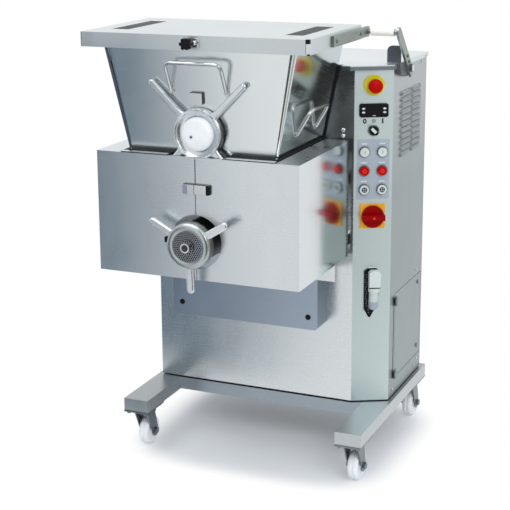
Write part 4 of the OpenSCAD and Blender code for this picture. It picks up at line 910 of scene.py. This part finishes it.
def cover_plugs():
    """Two black plugs in the cover under the doors."""
    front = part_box("bracket_cover")[0].y
    bm = bmesh.new()
    for x in (-182, 182):
        spot = Matrix.Translation(Vector((place(x, 0, 0).x, front, 398 * MM)))
        lathe(bm, spot, [(7.5, -0.5), (7.5, 0.8), (6.6, 1.6), (3.0, 2.0), (0, 2.1)], 28)
    finish_piece("cover_plugs", bm, "machine", black_plastic)


def lid_trim():
    """Black caps and bright post of the lid's front corners, its clip and the knob's ferrule."""
    low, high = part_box("lid")
    middle_z = (low.z + high.z) / 2
    right = Matrix.Translation(Vector((high.x, low.y, middle_z)))
    bm = bmesh.new()
    slab(bm, right, [(0.9, 8.5), (0.9, 18.4), (-8.5, 18.4), (-8.5, 8.5)], -8.0, 0.9)
    slab(bm, right, [(0.7, -18.2), (0.7, -15), (-4.5, -15), (-4.5, -18.2)], -5.0, 0.7)
    slab(bm, right, [(-7.3, -14), (-7.3, 8), (-8.3, 8), (-8.3, -14)], -0.2, 0.25)
    left = Matrix.Translation(Vector((low.x, low.y, middle_z)))
    slab(bm, left, [(3.4, -16), (3.4, 16), (2.6, 16), (2.6, -16)], -0.2, 0.2)
    finish_piece("lid_corner_caps", bm, "lid_assembly", black_plastic, 0.3)
    bm = bmesh.new()
    slab(bm, right, [(0.6, -15), (0.6, 8.5), (-7.3, 8.5), (-7.3, -15)], -6.5, 0.6)
    finish_piece("lid_corner_post", bm, "lid_assembly", satin_casting, 0.8)
    bm = bmesh.new()
    lid_front_y = -13
    clip = upright(15, lid_front_y, 1138)
    slab(bm, clip, rectangle(15, 20, 3), 0.0, 2.0)
    lathe(bm, shifted(clip, -1, 0, 1), [(5.5, 1.8), (5.5, 9), (4.6, 11), (2.2, 12), (0, 12.2)], 24)
    finish_piece("lid_clip", bm, "lid_assembly", polished_steel, 0.4)
    bm = bmesh.new()
    lathe(bm, upright(-3, lid_front_y, 1137),
          [(6.0, 0), (6.0, 3.5), (4.6, 4.5), (4.6, 11.6), (0, 11.6)], 24)
    finish_piece("lid_knob_ferrule", bm, "lid_assembly", polished_steel)


def arm_bolts():
    """Bolts of the lid's lifting arm, and the cap and bolts at its pivot."""
    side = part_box("lid_arm")[0].x + 6 * MM
    bm = bmesh.new()
    for y in (334, 160):
        spot = side_spot(y, ARM_Z)
        spot.translation.x = side
        screw(bm, spot, 6, 3.0)
    finish_piece("lid_arm_bolts", bm, "lid_assembly", arm_steel)
    bm = bmesh.new()
    lathe(bm, side_spot(490, 1034, 389), [(0, 0), (9, 0), (9, 1.2), (7.5, 2.4), (0, 3)], 24)
    finish_piece("pivot_bolt_cap", bm, "machine", polished_steel)
    bm = bmesh.new()
    for y, z in ((462, 1068), (474, 1052)):
        screw(bm, side_spot(y, z, 384), 4.5, 3.0)
    finish_piece("pivot_bar_bolts", bm, "lid_assembly", zinc)


def hinge_stops():
    """Black buffers on the rear edges of the doors, under the knuckles of their hinges."""
    for side, door in ((-1, "left"), (1, "right")):
        bm = bmesh.new()
        for z in (598, 758):
            slab(bm, upright(side * 265.2, 355, z), rectangle(6.4, 26, 1), 0, 9)
        finish_piece(f"hinge_stops_{door}", bm, f"door_{door}_body", black_plastic,
                     0.6)


def door_block():
    """The small black rest beside the head's opening."""
    bm = bmesh.new()
    slab(bm, upright(-75, 0, HEAD_Z + 2), rectangle(10, 14, 2), 0, 13)
    finish_piece("door_rest_block", bm, "door_left_body", black_plastic, 0.8)


def latch_trim():
    """Dark line over and under the latch bar, the dull end of its keeper, its own black end."""
    low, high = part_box("latch")
    bar = Matrix.Translation(Vector((head.x, door_front, (low.z + high.z) / 2)))
    half = (high.z - low.z) / 2 / MM
    bm = bmesh.new()
    for up in (-1, 1):
        slab(bm, shifted(bar, 0, 0, up * (half + 0.2)), rectangle(60, 1.4), 0, 6.5)
    finish_piece("keeper_shadow_line", bm, "door_left_body", dark_trim)
    bm = bmesh.new()
    slab(bm, shifted(bar, -24, 0, 0), rectangle(12, 2 * half, 2), 8.9, 9.6)
    finish_piece("keeper_end", bm, "door_left_body", cover_steel, 0.3)
    bm = bmesh.new()
    right = high.x / MM - head.x / MM
    slab(bm, shifted(bar, right - 4, 0, 0), rectangle(8.6, 2 * half + 0.8, 2), 0.6, 9.7)
    finish_piece("latch_end", bm, "latch_body", black_plastic, 0.5)


def supply_inlet():
    """Steel plate over a pocket, the hinged lid, the slanting socket with its grey cap,
    and the cap's bead chain. The pocket is a black plate, with a black strip under the lid:
    painted shade."""
    spot = on_column(COLUMN_MIDDLE, level("supply_inlet"))
    w, h, cut = 21.0, 68.5, 9.0
    outline = [(-w + cut, h), (w - cut, h), (w, h - cut), (w, -h + 2 * cut), (cut / 2, -h),
               (-cut / 2, -h), (-w, -h + 2 * cut), (-w, h - cut)]
    pocket_shade = [(-w + cut, h - 0.6), (w - cut, h - 0.6), (w - 1, h - cut), (w - 1, -2), (11, -40),
              (-3, -h + 2), (-8, -h + 4), (-w + 1, -h + 26), (-w + 1, h - cut)]
    axis = shifted(spot, 5, -14, 22) @ Matrix.Rotation(math.radians(102), 4, "X")
    lid = [(-9, 20), (21, 20), (21.5, 58), (15, 64), (-3, 64), (-9, 58)]
    socket = [(0, 2), (14.5, 2), (15, 4), (15, 14), (13.4, 16), (12.4, 18), (12, 44), (0, 44)]
    cap = [(0, 42), (12.9, 42), (13.1, 46), (12.4, 60), (10.5, 65), (0, 66)]
    ball = [(0, 3.0), (1.5, 3.6), (1.9, 4.8), (1.5, 6.0), (0, 6.6)]
    bm = bmesh.new()
    slab(bm, spot, outline, 0, 2.8)
    slab(bm, spot, rectangle(2 * w - 9, 2 * h - 9), -1.5, 0.25)
    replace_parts(finish_piece("inlet_plate", bm, "machine", column_steel, 0.5),
                "supply_inlet")
    # A black plate in the pocket and a black strip under the lid: painted shade
    bm = bmesh.new()
    slab(bm, spot, pocket_shade, 2.0, 3.3)
    slab(bm, shifted(spot, 6, 0, 19.2), rectangle(30, 1.4), 3, 25)
    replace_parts(finish_piece("inlet_pocket_shade", bm, "machine", black_plastic),
                "supply_inlet")
    bm = bmesh.new()
    slab(bm, spot, lid, 3.0, 24.0)
    lathe(bm, axis, socket, 28)
    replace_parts(finish_piece("inlet_socket", bm, "machine", white_plastic, 0.8),
                "supply_inlet")
    bm = bmesh.new()
    lathe(bm, axis, cap, 28)
    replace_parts(finish_piece("inlet_cap", bm, "machine", label_film),
                "supply_inlet")
    bm = bmesh.new()
    for i in range(17):
        across = -14.6 + 1.6 * math.sin(i * 1.9) + max(0, i - 11) * 1.7
        lathe(bm, shifted(spot, across, 0, 50 - i * 6.4), ball, 10)
    finish_piece("inlet_bead_chain", bm, "machine", zinc)


def service_door_gap_shade():
    """Black strip in the gap at the service door's hinged edge: painted shade of the gap."""
    low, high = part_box("service_door")
    spot = side_spot(0, 0)
    spot.translation.y = low.y - 0.8 * MM
    spot.translation.z = (low.z + high.z) / 2
    bm = bmesh.new()
    # Painted shade of the gap
    slab(bm, spot, rectangle(2.6, (high.z - low.z) / MM), -0.8, 0.35)
    finish_piece("service_door_gap_shade", bm, "machine", rubber)


def cap_screw():
    """The small screw in the bearing cap."""
    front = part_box("bearing_cap")[0].y
    bm = bmesh.new()
    spot = Matrix.Translation(Vector((place(-10, 0, 0).x, front, (MIXER_Z - 5) * MM)))
    lathe(bm, spot, [(3.4, -0.2), (3.4, 0.9), (2.6, 1.3), (1.7, 1.3), (1.5, 0.2), (0, 0.2)], 20)
    finish_piece("cap_screw", bm, "machine", zinc)


panel_screws()
cover_plugs()
lid_trim()
arm_bolts()
hinge_stops()
door_block()
latch_trim()
supply_inlet()
service_door_gap_shade()
cap_screw()


def louvres():
    """Pressed hoods over the slots in the right side, open along their lower edge."""
    length, high, deep, run_out, steps = 82, 12, 5.5, 5, 6
    first_y, column_step, first_z, row_step = 465, 93, 803, 16
    quarter = [math.pi / 2 * i / steps for i in range(steps + 1)]
    section = [(deep * math.cos(a), high * math.sin(a)) for a in quarter]
    end = length / 2
    bm = bmesh.new()
    for column in range(2):
        for row in range(11):
            spot = side_spot(first_y + column * column_step + end, first_z + row * row_step)
            rows = []
            for x in (-end, -end + run_out, end - run_out, end):
                flat = abs(x) == end
                rows.append([bm.verts.new(spot @ Vector((x * MM, -(0.05 if flat else out) * MM,
                                                         up * MM)))
                             for out, up in section])
            for left, right in zip(rows, rows[1:]):
                for i in range(steps):
                    bm.faces.new([left[i], right[i], right[i + 1], left[i + 1]])
    bmesh.ops.solidify(bm, geom=bm.faces[:], thickness=0.8 * MM)
    # The hoods' lighter steel is painted light
    finish_piece("louvre_hoods", bm, "machine", lit_hood_steel)


louvres()

# Studio

FLOOR_PALE = (0.84, 0.87, 0.90, 1.0)
WHITE = (1.0, 1.0, 1.0, 1.0)
FLOOR_RADIUS = 9.0
# The floor keeps its own colour inside this rounded square: half sides and middle, in metres
SHADE_ACROSS = 0.36
SHADE_DEEP = 0.33
SHADE_MIDDLE_Y = 0.12
# The cards turn from dark to bright between these two, across X and CARD_SLANT times -Y
CARD_SLANT = 0.45
CARD_DARK_AT = -0.24
CARD_BRIGHT_AT = 0.20


def looked_at(finish):
    """One for rays from the camera and in mirrors, nought for the rest."""
    rays = [finish.add("ShaderNodeLightPath", {}, {}, name)
            for name in ("Is Camera Ray", "Is Glossy Ray", "Is Transmission Ray")]
    return rays[0].maths("MAXIMUM", rays[0].maths("MAXIMUM", rays[0], rays[1]), rays[2])


def studio_floor():
    """Pale floor that keeps the shadow under the machine and turns to plain white beyond it."""
    bm = bmesh.new()
    bmesh.ops.create_circle(bm, cap_ends=True, radius=FLOOR_RADIUS, segments=96)
    finish = Finish("pale_floor", Base_Color=FLOOR_PALE, Roughness=0.8, IOR=1.2)
    ob = into_scene("studio_floor", bm, finish.material)
    ob.location.z = -0.5 * MM
    across = finish.along("X") * (1 / SHADE_ACROSS)
    deep = (finish.along("Y") - SHADE_MIDDLE_Y) * (1 / SHADE_DEEP)
    square = across * across * across * across + deep * deep * deep * deep
    away = finish.fade(square, 0.35, 1.5, low=0.10)
    glow = finish.add("ShaderNodeEmission", {}, {"Color": WHITE, "Strength": 1.0})
    shader = Value(finish, finish.shader.outputs[0])
    mixed = finish.add("ShaderNodeMixShader", {},
                       {0: away * looked_at(finish), 1: shader, 2: glow})
    finish.feed(finish.tree.nodes["Material Output"].inputs["Surface"], mixed)


def mirror_card(name, corners, dark, bright):
    """A card that only mirrors see. It goes from dark on its left to bright on its right."""
    bm = bmesh.new()
    bm.faces.new([bm.verts.new(Vector(corner)) for corner in corners])
    finish = Finish(name + "_paint")
    ob = into_scene(name, bm, finish.material)
    slant = finish.along("X") - finish.along("Y") * CARD_SLANT
    share = finish.add("ShaderNodeMapRange", {}, {"Value": slant, "From Min": CARD_DARK_AT,
                                                  "From Max": CARD_BRIGHT_AT})
    glow = finish.add("ShaderNodeEmission", {}, {"Color": finish.blend(share, dark, bright),
                                                 "Strength": 1.0})
    finish.feed(finish.tree.nodes["Material Output"].inputs["Surface"], glow)
    ob.visible_camera = False
    ob.visible_diffuse = False
    ob.visible_transmission = False
    ob.visible_shadow = False


def standing(left, right, height):
    """Corners of an upright card between two (x, y) points on the floor."""
    return [(*left, 0), (*right, 0), (*right, height), (*left, height)]


def mirror_cards():
    """Dark cards in front and to the right, for the steel's darker zones."""
    blue_grey = (0.12, 0.18, 0.235, 1.0)
    side_grey = (0.42, 0.45, 0.42, 1.0)
    near_black = (0.045, 0.048, 0.045, 1.0)
    flat = 2 * MM
    mirror_card("left_card", standing((-2.6, -1.35), (-0.33, -1.35), 1.12), blue_grey, WHITE)
    mirror_card("floor_card", [(-2.2, -1.34, flat), (0.6, -1.34, flat), (0.6, -0.42, flat),
                               (-2.2, -0.42, flat)], blue_grey, WHITE)
    mirror_card("right_card", standing((0.16, -1.05), (0.93, -1.05), 2.2), near_black, near_black)
    mirror_card("side_card", standing((1.7, -1.0), (1.7, 0.6), 1.4), side_grey, side_grey)


def studio_world():
    """Soft grey-white light on the machine, plain white behind it and in its mirrors."""
    world = bpy.data.worlds.new("studio")
    bpy.context.scene.world = world
    world.use_nodes = True
    nodes, links = world.node_tree.nodes, world.node_tree.links
    plain = nodes["Background"]
    plain.inputs["Color"].default_value = (0.94, 0.96, 1.0, 1.0)
    plain.inputs["Strength"].default_value = 0.72
    white = nodes.new("ShaderNodeBackground")
    white.inputs["Color"].default_value = WHITE
    white.inputs["Strength"].default_value = 1.0
    rays = nodes.new("ShaderNodeLightPath")
    seen = rays.outputs["Is Camera Ray"]
    for ray in ("Is Glossy Ray", "Is Transmission Ray"):
        either = nodes.new("ShaderNodeMath")
        either.operation = "MAXIMUM"
        links.new(seen, either.inputs[0])
        links.new(rays.outputs[ray], either.inputs[1])
        seen = either.outputs[0]
    mix = nodes.new("ShaderNodeMixShader")
    links.new(seen, mix.inputs[0])
    links.new(plain.outputs[0], mix.inputs[1])
    links.new(white.outputs[0], mix.inputs[2])
    links.new(mix.outputs[0], nodes["World Output"].inputs["Surface"])


def softbox(name, spot, aim, side, power):
    """A square lamp at a spot, turned towards an aim, with its side in metres."""
    light = bpy.data.lights.new(name, "AREA")
    light.shape = "SQUARE"
    light.size = side
    light.energy = power
    ob = bpy.data.objects.new(name, light)
    ob.location = spot
    ob.rotation_mode = "QUATERNION"
    ob.rotation_quaternion = (Vector(aim) - Vector(spot)).to_track_quat("-Z", "Y")
    bpy.context.scene.collection.objects.link(ob)


studio_floor()
mirror_cards()
studio_world()
softbox("key_softbox", (2.2, -2.4, 2.6), (0.0, 0.0, 0.6), side=1.8, power=46)
softbox("top_softbox", (-0.4, -0.6, 3.2), (0.0, 0.1, 0.6), side=2.4, power=40)

# Camera: lens and sensor in millimetres, turns in degrees, shift in widths of the picture

LENS = 95.5
SENSOR = 36
SHIFT = (0.0622, -0.0804)
CAMERA_SPOT = (1381.8, -2865.1, 1493.3)
CAMERA_ROUND = 24.547
CAMERA_DOWN = 13.626
CAMERA_ROLL = -0.662


def studio_camera():
    round_z, down, roll = (math.radians(v) for v in (CAMERA_ROUND, CAMERA_DOWN, CAMERA_ROLL))
    ahead = Vector((-math.sin(round_z) * math.cos(down), math.cos(round_z) * math.cos(down),
                    -math.sin(down)))
    right = Vector((math.cos(round_z), math.sin(round_z), 0))
    up = right.cross(ahead)
    turned_right = right * math.cos(roll) + up * math.sin(roll)
    turned_up = up * math.cos(roll) - right * math.sin(roll)
    data = bpy.data.cameras.new("camera")
    data.lens = LENS
    data.sensor_width = SENSOR
    data.shift_x, data.shift_y = SHIFT
    data.clip_start = 0.05
    data.clip_end = 50
    camera = bpy.data.objects.new("camera", data)
    axes = Matrix((turned_right, turned_up, -ahead)).transposed()
    camera.matrix_world = Matrix.Translation(place(*CAMERA_SPOT)) @ axes.to_4x4()
    bpy.context.scene.collection.objects.link(camera)
    bpy.context.scene.camera = camera


studio_camera()
bpy.context.scene.view_settings.view_transform = "Standard"
